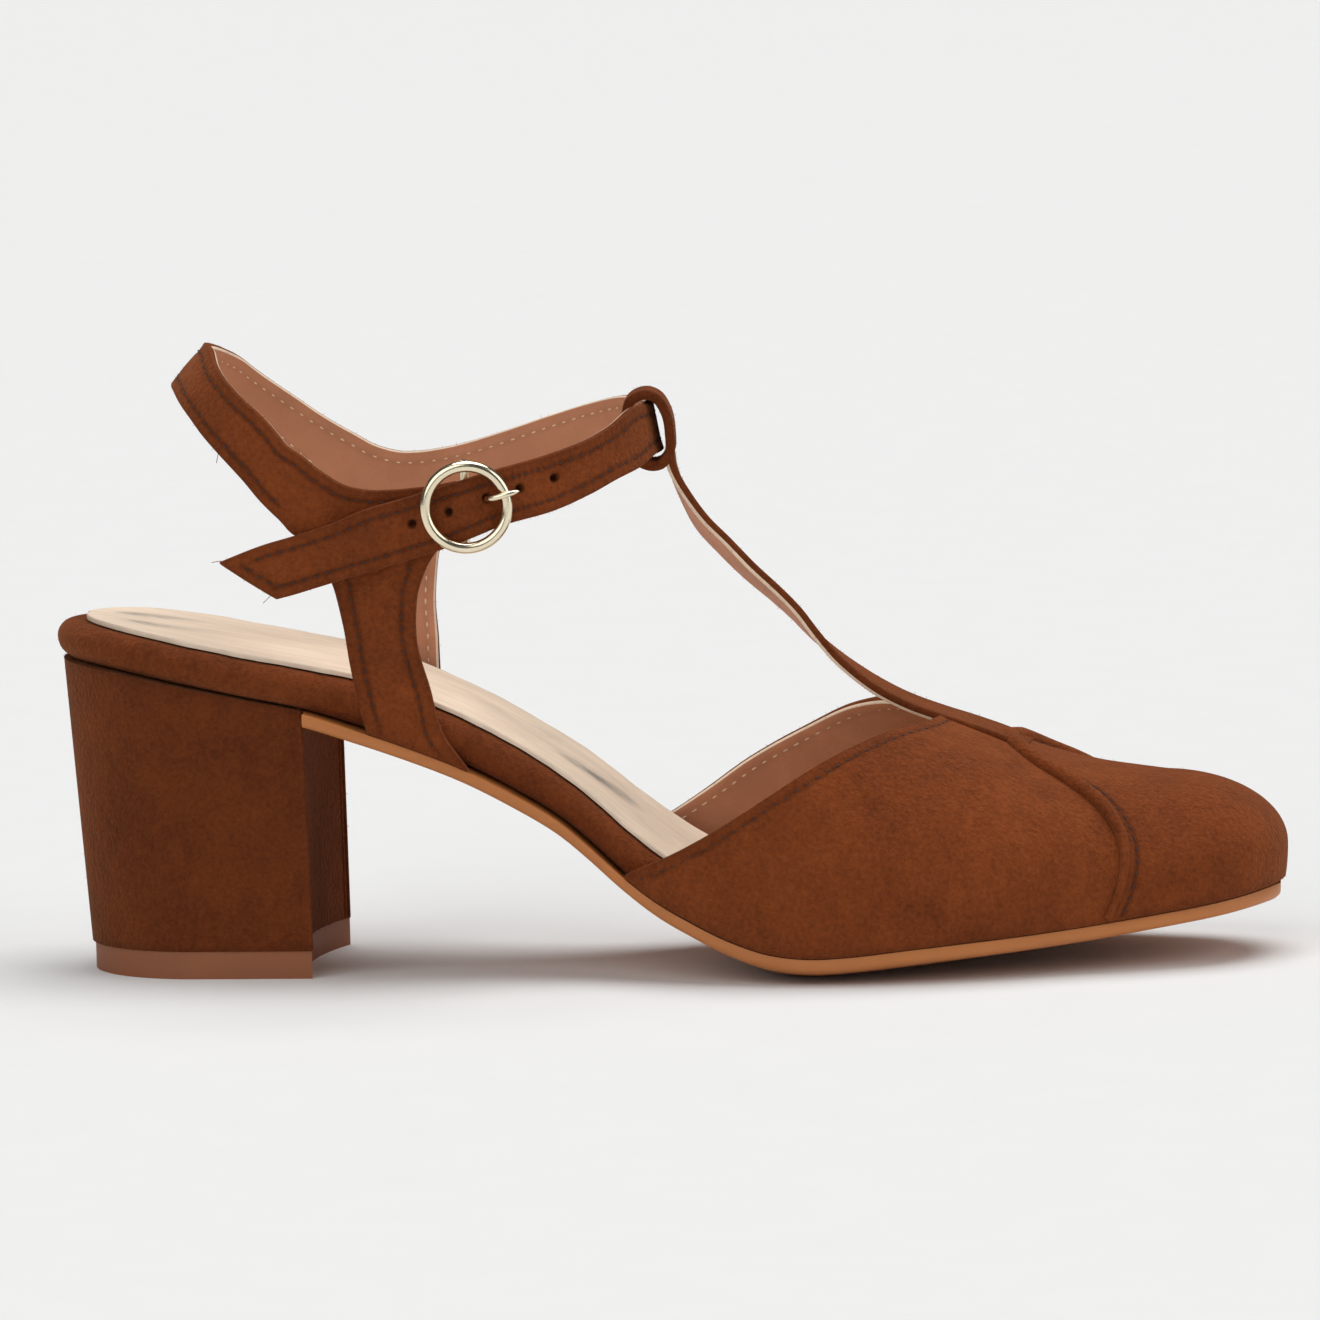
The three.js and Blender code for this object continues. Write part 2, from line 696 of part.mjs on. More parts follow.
function postPoint(side, step, down) {
  const { first, last, rows } = posts[side];
  const top = bandPoint(step, 0);
  if (down === 0) return top;
  const ends = [bandPoint(first, 0).x, bandPoint(last, 0).x];
  const share = (top.x - Math.min(...ends)) / Math.abs(ends[1] - ends[0]);
  const edge = (column, d) => curve(postColumns, rows, column)(d) * shoeLength;
  const x = mix(edge("back", down), edge("front", down), share);
  const footX = mix(edge("back", 1), edge("front", 1), share);
  const height = mix(top.z, edgeHeight(footX) + slopedClearance(footX), down);
  const level = height / strapHeight;
  const back = ankle.back(level) * shoeLength;
  const long = (ankle.front(level) * shoeLength - back) / 2;
  const turn = Math.acos((x - back - long) / long) / radians;
  const onForm = anklePoint(side === "outer" ? turn : -turn, height, bandThickness / 2);
  const low = 1 - ease((height - blendLow) / (blendHigh - blendLow));
  return new THREE.Vector3(x, mix(onForm.y, edgeY(side, x, bandThickness / 2), low), height);
}

const bandSteps = steps((bandRows.length - 1) * 2).map((t) => t * (bandRows.length - 1));
const bandGrid = bandSteps.map((step) => [1, 0.5, 0].map((share) => bandPoint(step, share)));
const downs = [0, 0.07, 0.17, 0.3, 0.5, 0.75, 1];
const postGrid = (side) => bandSteps
  .filter((step) => step >= posts[side].first && step <= posts[side].last)
  .map((step) => downs.map((down) => postPoint(side, step, down)));
const half = bandThickness / 2;
const bandSolid = thicken(
  [bandGrid, postGrid("outer"), postGrid("inner")],
  squareFoot(half),
  squareFoot(-half),
);

// Instep strap rising from the cap's seam to the loop round the band.
// run, rise: shares of the way between loop and cap. twist in degrees. shift: share of the toe's.
const instepColumns = ["step", "run", "rise", "twist", "shift", "width"];
const instepRows = [
  [1, 0, 0, 0.64, 1.18],
  [0.9321, 0.0392, 0, 0.6, 1.2],
  [0.8367, 0.0802, 0, 0.56, 1.18],
  [0.75, 0.1143, 0, 0.53, 1.14],
  [0.6561, 0.157, 0, 0.5, 1.1],
  [0.5665, 0.215, 1, 0.46, 1.06],
  [0.474, 0.2969, 5, 0.42, 1.03],
  [0.4046, 0.3788, 11, 0.38, 1],
  [0.3497, 0.4556, 15, 0.34, 1],
  [0.2948, 0.5205, 17, 0.3, 1],
  [0.2182, 0.6024, 19, 0.26, 1],
  [0.1488, 0.6877, 20, 0.22, 1],
  [0.0867, 0.7679, 18, 0.19, 1],
  [0.0376, 0.8669, 12, 0.16, 1],
  [0.0087, 0.9454, 8, 0.14, 0.96],
  [0, 1, 6, 0.13, 0.9],
].map((row, step) => [step, ...row]);
const instep = {};
for (const column of instepColumns.slice(1)) {
  instep[column] = curve(instepColumns, instepRows, column);
}
const frontStep = 35;
const bandFront = bandPoint(frontStep, 0.5);
const loopFoot = { x: bandFront.x + 0.33 * strapWidth, z: bandFront.z - 0.52 * strapWidth };
const capPoint = crestPoint(at(0.791));
function instepMiddle(step) {
  const x = mix(loopFoot.x, capPoint.x, instep.run(step));
  const z = mix(capPoint.z, loopFoot.z, instep.rise(step));
  return new THREE.Vector3(x, instep.shift(step) * toeShift, z);
}
const instepSteps = steps((instepRows.length - 1) * 2).map((t) => t * (instepRows.length - 1));
const instepGrid = instepSteps.map((step) => {
  const middle = instepMiddle(step);
  const ahead = instepMiddle(step + 0.02).sub(instepMiddle(step - 0.02)).normalize();
  const inwards = new THREE.Vector3(0, 1, 0);
  const above = inwards.clone().cross(ahead).normalize();
  const turn = instep.twist(step) * radians;
  const sideways = inwards.multiplyScalar(Math.cos(turn)).addScaledVector(above, -Math.sin(turn));
  const width = instep.width(step) * instepStrapWidth;
  return [-0.5, -0.25, 0, 0.25, 0.5].map((share) => (
    middle.clone().addScaledVector(sideways, share * width)
  ));
});
const instepStrap = thicken([instepGrid], along(instepStrapThickness / 2), along(-instepStrapThickness / 2));

// Loop: a strip folded round the band, middle line as shares of the band's width about its middle
const loopLine = new THREE.CatmullRomCurve3([
  [0.36, -0.42],
  [0.36, -0.05],
  [0.33, 0.2],
  [0.27, 0.38],
  [0.16, 0.57],
  [0.01, 0.67],
  [-0.15, 0.69],
  [-0.32, 0.63],
  [-0.44, 0.5],
  [-0.49, 0.2],
  [-0.48, -0.15],
  [-0.41, -0.42],
  [-0.24, -0.63],
  [0, -0.72],
  [0.22, -0.66],
].map(([x, z]) => new THREE.Vector3(x * strapWidth, z * strapWidth, 0)), true);
const loopCount = 40;
const loopEdge = (offset) => steps(loopCount).slice(0, -1).map((t) => {
  const p = loopLine.getPoint(t);
  const tangent = loopLine.getTangent(t);
  return new THREE.Vector2(p.x + tangent.y * offset, p.y - tangent.x * offset);
});
const loopShape = new THREE.Shape(loopEdge(loopThickness / 2));
loopShape.holes.push(new THREE.Path(loopEdge(-loopThickness / 2)));
const loop = new THREE.ExtrudeGeometry(loopShape, { depth: loopWidth, bevelEnabled: false, curveSegments: 1 });
loop.rotateX(Math.PI / 2).translate(0, loopWidth / 2, 0).rotateZ(loopTurn * radians);
loop.translate(bandFront.x, 0, bandFront.z);
const upper = [cap, ridge, instepStrap, loop].reduce(
  (solid, piece) => solid.add(toManifold(piece)),
  toManifold(vamp),
);

// Buckle: a ring over the band, a lowered bar in the fold of the tab, and a prong.
// Its frame: x towards the toe, y inwards, z up, middle on the bar.
const barHeight = mix(band.low(0), band.high(0), 0.5) * strapHeight;
const barMiddle = anklePoint(barTurn, barHeight, half);
const outwards = anklePoint(barTurn, barHeight, half + 1).sub(barMiddle);
const buckleTurn = Math.atan2(outwards.x, -outwards.y);
const toBuckle = (geometry) => (
  geometry.rotateZ(buckleTurn).translate(barMiddle.x, barMiddle.y, barMiddle.z)
);
const roundSides = 12;
const barHole = barRadius + clearance;
const foldRadius = barHole + foldThickness;
const ringDrop = foldRadius + 3 * clearance + bandThickness;
const upright = (radius, length) => (
  new THREE.CylinderGeometry(radius, radius, length, roundSides).rotateX(Math.PI / 2)
);
const tabLength = (band.high(0) - band.low(0)) * strapHeight;
const fold = toManifold(toBuckle(upright(foldRadius, tabLength)));
const foldHole = toManifold(toBuckle(upright(barHole, 2 * tabLength)));
const prongRise = 0.5;
const slotWidth = 2 * prongRadius + 4 * clearance;
const slot = toManifold(toBuckle(
  new THREE.BoxGeometry(2 * foldRadius + 1, 2 * foldRadius + 1, slotWidth).translate(0, 0, prongRise),
));

// Holes punched through the outer turn of the band, at steps of its table
const holeSteps = [39.81, 40.54, 41.3, 42.72, 43.92];
const holeShare = 0.56;
const prongStep = holeSteps[2];
const holes = holeSteps.map((step) => {
  const middle = bandPoint(step, holeShare);
  const ahead = bandPoint(step + 0.05, holeShare).sub(middle).normalize();
  const up = new THREE.Vector3(0, 0, 1);
  const through = ahead.cross(up).normalize();
  const punch = new THREE.CylinderGeometry(holeRadius, holeRadius, bandThickness * 1.3, roundSides);
  const turn = new THREE.Quaternion().setFromUnitVectors(new THREE.Vector3(0, 1, 0), through);
  punch.applyQuaternion(turn).translate(middle.x, middle.y, middle.z);
  return toManifold(punch);
});
let quarterStrap = toManifold(bandSolid).add(fold).subtract(foldHole).subtract(slot);
for (const hole of holes) quarterStrap = quarterStrap.subtract(hole);

const ring = new THREE.TorusGeometry(ringRadius, wireRadius, 8, 32).rotateX(Math.PI / 2);
let buckleFrame = toManifold(toBuckle(ring.translate(0, -ringDrop, 0)));
buckleFrame = buckleFrame.add(toManifold(toBuckle(upright(barRadius, 2 * (ringRadius + barRadius)))));
for (const end of [-1, 1]) {
  const leg = new THREE.CylinderGeometry(barRadius, barRadius, ringDrop + barRadius, roundSides);
  leg.translate(0, (barRadius - ringDrop) / 2, end * ringRadius);
  buckleFrame = buckleFrame.add(toManifold(toBuckle(leg)));
}

// Prong from the bar through the middle hole and over the front of the ring, in the buckle's frame.
// forward: share of the hole's distance. out: share of the way to the tip. up: share of the rise.
const prongTip = ringDrop + wireRadius + clearance + prongRadius;
const holeSpot = bandPoint(prongStep, holeShare).sub(barMiddle).applyAxisAngle(new THREE.Vector3(0, 0, 1), -buckleTurn);
const prongPath = new THREE.CatmullRomCurve3([
  [0.4, 0, 0.3],
  [0.76, 0.1, 0.6],
  [0.96, 0.28, 0.95],
  [1, 0.46, 1],
  [1.05, 0.68, 1.05],
  [1.25, 0.88, 1.25],
  [1.65, 0.985, 1.7],
  [2.1, 1, 2.2],
  [2.6, 0.96, 2.7],
].map(([forward, out, up]) => (
  new THREE.Vector3(forward * holeSpot.x, -out * prongTip, mix(prongRise, holeSpot.z, up))
)));
const circle = new THREE.Shape().absarc(0, 0, prongRadius, 0, 2 * Math.PI);
const prongArm = new THREE.ExtrudeGeometry(circle, {
  steps: 18,
  curveSegments: 4,
  extrudePath: prongPath,
});
const eye = new THREE.Shape().absarc(0, 0, barHole + 2 * prongRadius * 0.8, 0, 2 * Math.PI);
eye.holes.push(new THREE.Path().absarc(0, 0, barHole, 0, 2 * Math.PI));
const prongEye = new THREE.ExtrudeGeometry(eye, {
  depth: 2 * prongRadius,
  curveSegments: 8,
  bevelEnabled: false,
}).translate(0, 0, prongRise - prongRadius);
const buckleProng = toManifold(toBuckle(prongArm)).add(toManifold(toBuckle(prongEye)));

const group = new THREE.Group();
group.name = "t_strap_shoe";
group.add(
  node("outsole", outsole, 0xb5713c, 0.55),
  node("heel_block", heelBlock, 0x8a5a35, 0.95),
  node("top_lift", topLift, 0x6b4a33, 0.7),
  node("insole", insole, 0x8f5e39, 0.95),
  node("sock", sock, 0xd8c4a4, 0.6),
  node("upper", fromManifold(upper), 0x8f5e39, 0.95),
  node("quarter_strap", fromManifold(quarterStrap), 0x8f5e39, 0.95),
  node("buckle_frame", fromManifold(buckleFrame), 0xc9ad6a, 0.3, 1),
  node("buckle_prong", fromManifold(buckleProng), 0xc9ad6a, 0.3, 1),
);

export default group;
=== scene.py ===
import bisect
import math
import random

import bpy
import numpy as np
from mathutils import Matrix, Vector
from mathutils.kdtree import KDTree


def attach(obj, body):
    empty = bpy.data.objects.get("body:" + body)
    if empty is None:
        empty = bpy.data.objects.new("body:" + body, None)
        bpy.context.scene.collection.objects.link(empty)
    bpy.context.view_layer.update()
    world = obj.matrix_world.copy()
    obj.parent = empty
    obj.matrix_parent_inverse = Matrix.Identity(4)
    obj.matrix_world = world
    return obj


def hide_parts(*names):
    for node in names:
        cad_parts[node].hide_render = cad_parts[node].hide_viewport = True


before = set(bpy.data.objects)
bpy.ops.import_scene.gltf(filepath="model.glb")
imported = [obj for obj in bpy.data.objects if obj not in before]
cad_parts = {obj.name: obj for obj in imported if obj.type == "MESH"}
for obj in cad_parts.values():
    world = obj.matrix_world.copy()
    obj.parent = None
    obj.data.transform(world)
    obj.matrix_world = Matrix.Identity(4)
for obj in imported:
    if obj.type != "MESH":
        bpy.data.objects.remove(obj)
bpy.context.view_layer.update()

bl_info = {
    "name": "T-strap shoe",
    "version": (1, 0, 0),
    "blender": (4, 5, 0),
    "location": "View3D > Sidebar > Shoe",
    "description": "Suede T-strap shoe with a covered block heel, dressed on its packed frame",
    "category": "Add Mesh",
}

# Sizes of the shoe in millimetres: +X to the toe, +Y to the inner side, +Z up
LENGTH = 244
SEAT_BACK = -30
BALL_WIDTH = 76.6
HEEL_HEIGHT = 62.4
TOE_SPRING = 9.1
INSTEP_HEIGHT = 104
TOE_HEIGHT = 35.7
TOE_RADIUS = 24
TOE_SHIFT = 7
CROWN = 2.7
WALL = 2
CLEARANCE = 0.35
OUTSOLE = 2.6
SOCK = 1
BED = 9.8
CAP_PROUD = 0.6
BAND = 2
INSTEP_STRAP = 1.9
LIFT = 5.5
STRAP_HEIGHT = 124.5
STRAP_WIDTH = 10
INSTEP_WIDTH = 11
LOOP_WIDTH = 10
RING_RADIUS = 8
WIRE = 1.1
BAR = 0.8
PRONG = 0.6
HOLE = 1
LOOP_THICKNESS = 1.9
LOOP_TURN = 6
SOCK_MARGIN = 3.3
SOCK_BACK_MARGIN = 6
BREAST_BASE = 23.2
BREAST_TOP = 22.6
BREAST_HOLLOW = 4
BREAST_FADE = 14
HEEL_BACK = (24.8, 28.8)
HEEL_HALF = (23.2, 24.4)
LIFT_BACK = 24.2
LIFT_HALF = 23
BAR_TURN = 71
FOLD_THICKNESS = 1
CROWN_POWER = 2.6
BALL_POWER = 2.35
TOE_POWER = 2
FRONT_PULL, FRONT_POWER = 0.9, 20
BACK_PULL, BACK_POWER = 2, 7

# Tables along the shoe, each with its columns named first
SOLE = (("at", "fall", "spring", "bed", "crown"), [
    (0.0, 1.0, 0, 0.93, 0),
    (0.053, 0.977, 0, 0.92, 0),
    (0.102, 0.939, 0, 0.93, 0),
    (0.164, 0.885, 0, 0.93, 0),
    (0.217, 0.838, 0, 0.95, 0),
    (0.262, 0.775, 0, 1.07, 0),
    (0.303, 0.711, 0, 1.08, 0),
    (0.346, 0.635, 0, 1.06, 0),
    (0.389, 0.54, 0, 1.03, 0),
    (0.422, 0.457, 0, 1.0, 0.1),
    (0.447, 0.373, 0, 1.02, 0.2),
    (0.475, 0.271, 0, 1.03, 0.4),
    (0.504, 0.182, 0, 1.0, 0.7),
    (0.533, 0.116, 0, 0.9, 1.0),
    (0.561, 0.061, 0, 0.76, 1.2),
    (0.594, 0.016, 0, 0.66, 1.35),
    (0.627, 0, 0, 0.6, 1.3),
    (0.664, 0, 0.044, 0.55, 1.25),
    (0.705, 0, 0.154, 0.5, 1.25),
    (0.75, 0, 0.253, 0.47, 1.1),
    (0.807, 0, 0.363, 0.45, 0.9),
    (0.865, 0, 0.505, 0.44, 0.7),
    (0.934, 0, 0.725, 0.43, 0.4),
    (1.0, 0, 1.0, 0.43, 0.2),
])
PLAN = (("at", "outer", "inner"), [
    (0.148, 0.728, 0.728),
    (0.18, 0.736, 0.736),
    (0.23, 0.728, 0.715),
    (0.279, 0.702, 0.647),
    (0.328, 0.674, 0.577),
    (0.377, 0.668, 0.53),
    (0.426, 0.695, 0.512),
    (0.467, 0.752, 0.53),
    (0.508, 0.825, 0.595),
    (0.549, 0.896, 0.695),
    (0.59, 0.956, 0.799),
    (0.631, 0.992, 0.89),
    (0.672, 0.99, 0.958),
    (0.713, 0.953, 0.997),
    (0.754, 0.885, 1.003),
    (0.795, 0.789, 0.979),
    (0.836, 0.676, 0.93),
    (0.881, 0.546, 0.859),
])
CREST = (("at", "rise", "shift"), [
    (0.467, 1.0, 0),
    (0.512, 0.837, 0),
    (0.561, 0.638, 0.5),
    (0.615, 0.445, 1),
    (0.672, 0.2825, 2),
    (0.725, 0.191, 3),
    (0.77, 0.1228, 4),
    (0.803, 0.068, 4.8),
    (0.84, 0.034, 5.6),
    (0.871, 0.0148, 6.4),
    (0.897, 0, 7),
])
TOPLINE = (("at", "outer", "inner"), [
    (0.43, 0.29, 0.4),
    (0.463, 0.385, 0.479),
    (0.475, 0.419, 0.507),
    (0.49, 0.457, 0.548),
    (0.516, 0.513, 0.632),
    (0.552, 0.611, 0.756),
    (0.594, 0.741, 0.869),
    (0.635, 0.868, 0.972),
    (0.664, 0.939, 1.013),
    (0.693, 0.985, 1.02),
    (0.725, 1.0, 1.0),
])
SEAM = (("up", "at"), [
    (0, 0.8365),
    (0.2, 0.846),
    (0.4, 0.849),
    (0.6, 0.839),
    (0.75, 0.8176),
    (0.85, 0.795),
    (0.93, 0.781),
    (1, 0.7746),
])
ANKLE = (("height", "back", "front", "outer", "inner"), [
    (0.361, -0.082, 0.459, 0.71, 0.666),
    (0.482, -0.0779, 0.4385, 0.731, 0.705),
    (0.602, -0.0738, 0.42, 0.765, 0.757),
    (0.723, -0.0676, 0.3943, 0.804, 0.804),
    (0.815, -0.0553, 0.3746, 0.809, 0.809),
    (0.892, -0.0348, 0.3664, 0.809, 0.809),
    (0.937, -0.0201, 0.3607, 0.796, 0.796),
    (0.998, 0.0066, 0.3484, 0.757, 0.757),
])
BAND_TABLE = (("step", "low_turn", "low", "high_turn", "high", "out"), [
    (0, 72, 0.723, 72, 0.7936, 0.5),
    (1, 75.5, 0.7108, 76, 0.7888, 0.5),
    (2, 80.5, 0.7036, 81, 0.7847, 0.5),
    (3, 85.5, 0.702, 86, 0.7823, 0.5),
    (4, 90.5, 0.7028, 91, 0.7831, 0.5),
    (5, 95.5, 0.706, 95.8, 0.792, 0.5),
    (6, 101, 0.7084, 100.8, 0.8145, 0.5),
    (7, 106.2, 0.7141, 105.5, 0.8378, 0.5),
    (8, 109.5, 0.739, 109.5, 0.853, 0.5),
    (9, 113.5, 0.7671, 113.5, 0.8755, 0.5),
    (10, 118.5, 0.8024, 119, 0.9012, 0.5),
    (11, 124.5, 0.8329, 125.5, 0.9229, 0.5),
    (12, 132.5, 0.8643, 133.5, 0.9462, 0.5),
    (13, 143, 0.898, 144, 0.9711, 0.5),
    (14, 156, 0.923, 156, 0.993, 0.5),
    (15, 168, 0.931, 168, 0.997, 0.5),
    (16, 180, 0.932, 180, 0.993, 0.5),
    (17, 192, 0.927, 193, 0.986, 0.5),
    (18, 203, 0.9173, 205, 0.9743, 0.5),
    (19, 216, 0.8884, 216, 0.9566, 0.5),
    (20, 226, 0.8586, 228, 0.9237, 0.5),
    (21, 235, 0.8233, 238, 0.89, 0.5),
    (22, 244, 0.7743, 247, 0.8554, 0.5),
    (23, 253.6, 0.71, 255.5, 0.8233, 0.5),
    (24, 258, 0.7052, 260, 0.8056, 0.5),
    (25, 262.5, 0.702, 265, 0.7944, 0.5),
    (26, 267, 0.702, 269.5, 0.7936, 0.5),
    (27, 271.5, 0.706, 274, 0.7976, 0.5),
    (28, 276, 0.7116, 279, 0.8048, 0.5),
    (29, 281, 0.7213, 284, 0.8145, 0.5),
    (30, 289, 0.739, 291, 0.8297, 0.5),
    (31, 300, 0.7647, 301, 0.8514, 0.5),
    (32, 313, 0.7904, 313.5, 0.8739, 0.5),
    (33, 326.5, 0.8064, 327, 0.8892, 0.5),
    (34, 343, 0.8137, 343, 0.892, 0.5),
    (35, 360, 0.8153, 360, 0.89, 0.5),
    (36, 370.5, 0.8137, 370, 0.891, 0.5),
    (37, 380, 0.8024, 379.5, 0.8884, 0.6),
    (38, 392, 0.788, 391, 0.8651, 0.9),
    (39, 402, 0.7687, 401, 0.8458, 1.25),
    (40, 413, 0.7462, 412, 0.8281, 1.55),
    (41, 424, 0.7293, 424, 0.8104, 1.85),
    (42, 431, 0.7116, 431, 0.7968, 2.2),
    (43, 436, 0.6972, 436, 0.7863, 1.85),
    (44, 442.5, 0.6819, 443, 0.7711, 1.7),
    (45, 450, 0.6643, 451, 0.7542, 1.7),
    (46, 456.5, 0.6498, 458.5, 0.7309, 1.7),
    (47, 462.5, 0.6353, 466, 0.7124, 1.95),
    (48, 466.8, 0.6249, 473, 0.6964, 2.3),
    (49, 470.5, 0.6169, 481.5, 0.6715, 2.65),
])
POSTS = {
    "outer": (1, 7, (("down", "back", "front"), [
        (0, 0.0988, 0.2217),
        (0.09, 0.1143, 0.2066),
        (0.19, 0.123, 0.1971),
        (0.28, 0.1287, 0.1926),
        (0.465, 0.1344, 0.191),
        (0.65, 0.1373, 0.1984),
        (0.84, 0.1422, 0.207),
        (1, 0.1484, 0.2275),
    ])),
    "inner": (23, 29, (("down", "back", "front"), [
        (0, 0.0988, 0.207),
        (0.09, 0.1078, 0.1852),
        (0.19, 0.1119, 0.1758),
        (0.28, 0.1139, 0.1717),
        (0.465, 0.1148, 0.1697),
        (0.65, 0.1148, 0.1734),
        (0.84, 0.1156, 0.1754),
        (1, 0.116, 0.177),
    ])),
}
INSTEP = (("step", "run", "rise", "twist", "shift", "width"), [
    (0, 1, 0, 0, 0.64, 1.18),
    (1, 0.9321, 0.0392, 0, 0.6, 1.2),
    (2, 0.8367, 0.0802, 0, 0.56, 1.18),
    (3, 0.75, 0.1143, 0, 0.53, 1.14),
    (4, 0.6561, 0.157, 0, 0.5, 1.1),
    (5, 0.5665, 0.215, 1, 0.46, 1.06),
    (6, 0.474, 0.2969, 5, 0.42, 1.03),
    (7, 0.4046, 0.3788, 11, 0.38, 1),
    (8, 0.3497, 0.4556, 15, 0.34, 1),
    (9, 0.2948, 0.5205, 17, 0.3, 1),
    (10, 0.2182, 0.6024, 19, 0.26, 1),
    (11, 0.1488, 0.6877, 20, 0.22, 1),
    (12, 0.0867, 0.7679, 18, 0.19, 1),
    (13, 0.0376, 0.8669, 12, 0.16, 1),
    (14, 0.0087, 0.9454, 8, 0.14, 0.96),
    (15, 0, 1, 6, 0.13, 0.9),
])
LOOP_LINE = [
    (0.36, -0.42),
    (0.36, -0.05),
    (0.33, 0.2),
    (0.27, 0.38),
    (0.16, 0.57),
    (0.01, 0.67),
    (-0.15, 0.69),
    (-0.32, 0.63),
    (-0.44, 0.5),
    (-0.49, 0.2),
    (-0.48, -0.15),
    (-0.41, -0.42),
    (-0.24, -0.63),
    (0, -0.72),
    (0.22, -0.66),
]

# Soft creases: two ends in mm, half width, depth (below 0 sinks)
WING_CREASES = [
    ((140, -8, 68), (158, -14, 55), 1.6, -0.5),
    ((133, -13, 66), (148, -22, 55), 2.0, 0.35),
    ((126, -22, 60), (146, -31, 44), 3.4, -0.35),
    ((112, -30, 44), (136, -38, 27), 4.5, 0.4),
    ((150, -30, 40), (166, -33, 26), 4.0, -0.3),
    ((100, -33, 30), (118, -37, 20), 3.5, -0.3),
    ((140, 10, 68), (156, 20, 54), 1.8, -0.45),
    ((122, 26, 58), (142, 36, 36), 3.6, -0.35),
    ((108, 30, 44), (130, 38, 26), 4.2, 0.35),
]
CAP_CREASES = [
    ((168, 2, 45), (182, -8, 41), 4.0, -0.35),
    ((186, -18, 30), (200, -14, 28), 5.0, -0.3),
    ((176, -26, 24), (190, -24, 22), 4.0, 0.3),
    ((180, 18, 36), (196, 22, 30), 5.0, -0.3),
]
BAND_CREASES = [
    ((18, -32, 88), (24, -33, 97), 2.2, -0.35),
    ((10, -32, 95), (4, -29, 104), 2.0, 0.3),
    ((10, -31, 82), (30, -32, 79), 2.4, -0.25),
    ((-2, -14, 119), (4, 0, 122), 2.5, -0.3),
    ((14, 29, 104), (20, 31, 96), 1.8, -0.4),
    ((28, 31, 74), (16, 31, 72), 2.6, -0.25),
    ((78, -22, 100), (86, -10, 103), 2.0, -0.2),
]

# Soft studio light: the world's strength near the floor and overhead, and broad suns
WORLD_LOW, WORLD_HIGH = 1.1, 1.42
SUNS = [
    ("overhead_light", (0.12, 0.2, 1), 2.3, 48),
    ("front_light", (-0.5, -1, 0.8), 1.15, 60),
    ("side_light", (1, -0.25, 0.45), 0.9, 50),
]


# Curves through a table's column
def curve(table, column):
    names, rows = table
    stops = [row[0] for row in rows]
    values = [row[names.index(column)] for row in rows]
    last = len(rows) - 1
    slopes = []
    for i in range(last + 1):
        low, high = max(0, i - 1), min(last, i + 1)
        slopes.append((values[high] - values[low]) / (stops[high] - stops[low]))

    def value(stop):
        i = min(max(bisect.bisect_left(stops, stop) - 1, 0), last - 1)
        step = stops[i + 1] - stops[i]
        u = min(1, max(0, (stop - stops[i]) / step))
        rise = values[i + 1] - values[i]
        enter = slopes[i] * step - rise
        leave = rise - slopes[i + 1] * step
        return values[i] + u * rise + u * (1 - u) * (enter * (1 - u) + leave * u)

    return value


def mix(a, b, t):
    return a + (b - a) * t


def clamp(t):
    return min(1, max(0, t))


def ease(t):
    return clamp(t) ** 2 * (3 - 2 * clamp(t))


def spread(first, last, count):
    return [mix(first, last, i / count) for i in range(count + 1)]


def place_at(share):
    return SEAT_BACK + share * LENGTH


def share_of(x):
    return (x - SEAT_BACK) / LENGTH


# Sole and footbed heights
FALL, SPRING, BED_AT, CROWN_AT = (curve(SOLE, name) for name in SOLE[0][1:])
BALL_EDGE = OUTSOLE + CROWN


def edge_height(x):
    share = share_of(x)
    return BALL_EDGE + FALL(share) * (HEEL_HEIGHT - BALL_EDGE) + SPRING(share) * TOE_SPRING


def sloped_clearance(x):
    return CLEARANCE * math.hypot(1, edge_height(x + 0.5) - edge_height(x - 0.5))


def sock_top(x):
    return edge_height(x) + BED_AT(share_of(x)) * BED


def insole_top(x):
    return sock_top(x) - SOCK - sloped_clearance(x)


# Plan of the foot line with its toe circle and seat ellipse
SIGN = {"outer": -1, "inner": 1}
TOE_TURN = {"outer": math.radians(24.8), "inner": math.radians(15)}
FOOT_TUCK = 1.2
TOE_CENTRE = place_at(1) - FOOT_TUCK - TOE_RADIUS
SKIN = WALL + CLEARANCE


def side_curve(side):
    touch = share_of(TOE_CENTRE + TOE_RADIUS * math.sin(TOE_TURN[side]))
    end = (TOE_RADIUS * math.cos(TOE_TURN[side]) + SIGN[side] * TOE_SHIFT) / (BALL_WIDTH / 2)
    return curve((PLAN[0], PLAN[1] + [(touch, end, end)]), side)


SIDE_HALF = {side: side_curve(side) for side in SIGN}
SEAT_CENTRE = place_at(PLAN[1][0][0])
SEAT_LONG = SEAT_CENTRE - SEAT_BACK + SKIN


def edge_y(side, x, inset, back_inset=None):
    sign = SIGN[side]

    def half(px):
        return SIDE_HALF[side](share_of(px)) * (BALL_WIDTH / 2)

    radius = TOE_RADIUS - inset
    if x > TOE_CENTRE + radius * math.sin(TOE_TURN[side]):
        return TOE_SHIFT + sign * math.sqrt(max(0, radius ** 2 - (x - TOE_CENTRE) ** 2))
    if x < SEAT_CENTRE:
        long = SEAT_LONG - (inset if back_inset is None else back_inset)
        wide = half(SEAT_CENTRE) - inset
        return sign * wide * math.sqrt(max(0, 1 - ((x - SEAT_CENTRE) / long) ** 2))
    slope = half(x + 0.5) - half(x - 0.5)
    return sign * (half(x) - inset * math.sqrt(1 + slope ** 2))


# Upper: instep line, half sections, topline and cap seam
CREST_RISE, CREST_SHIFT = curve(CREST, "rise"), curve(CREST, "shift")
WIDEST_UP = 0.2
WIDEST_RISE = 7
SWING_START = place_at(0.738)
THROAT_X = place_at(0.725)


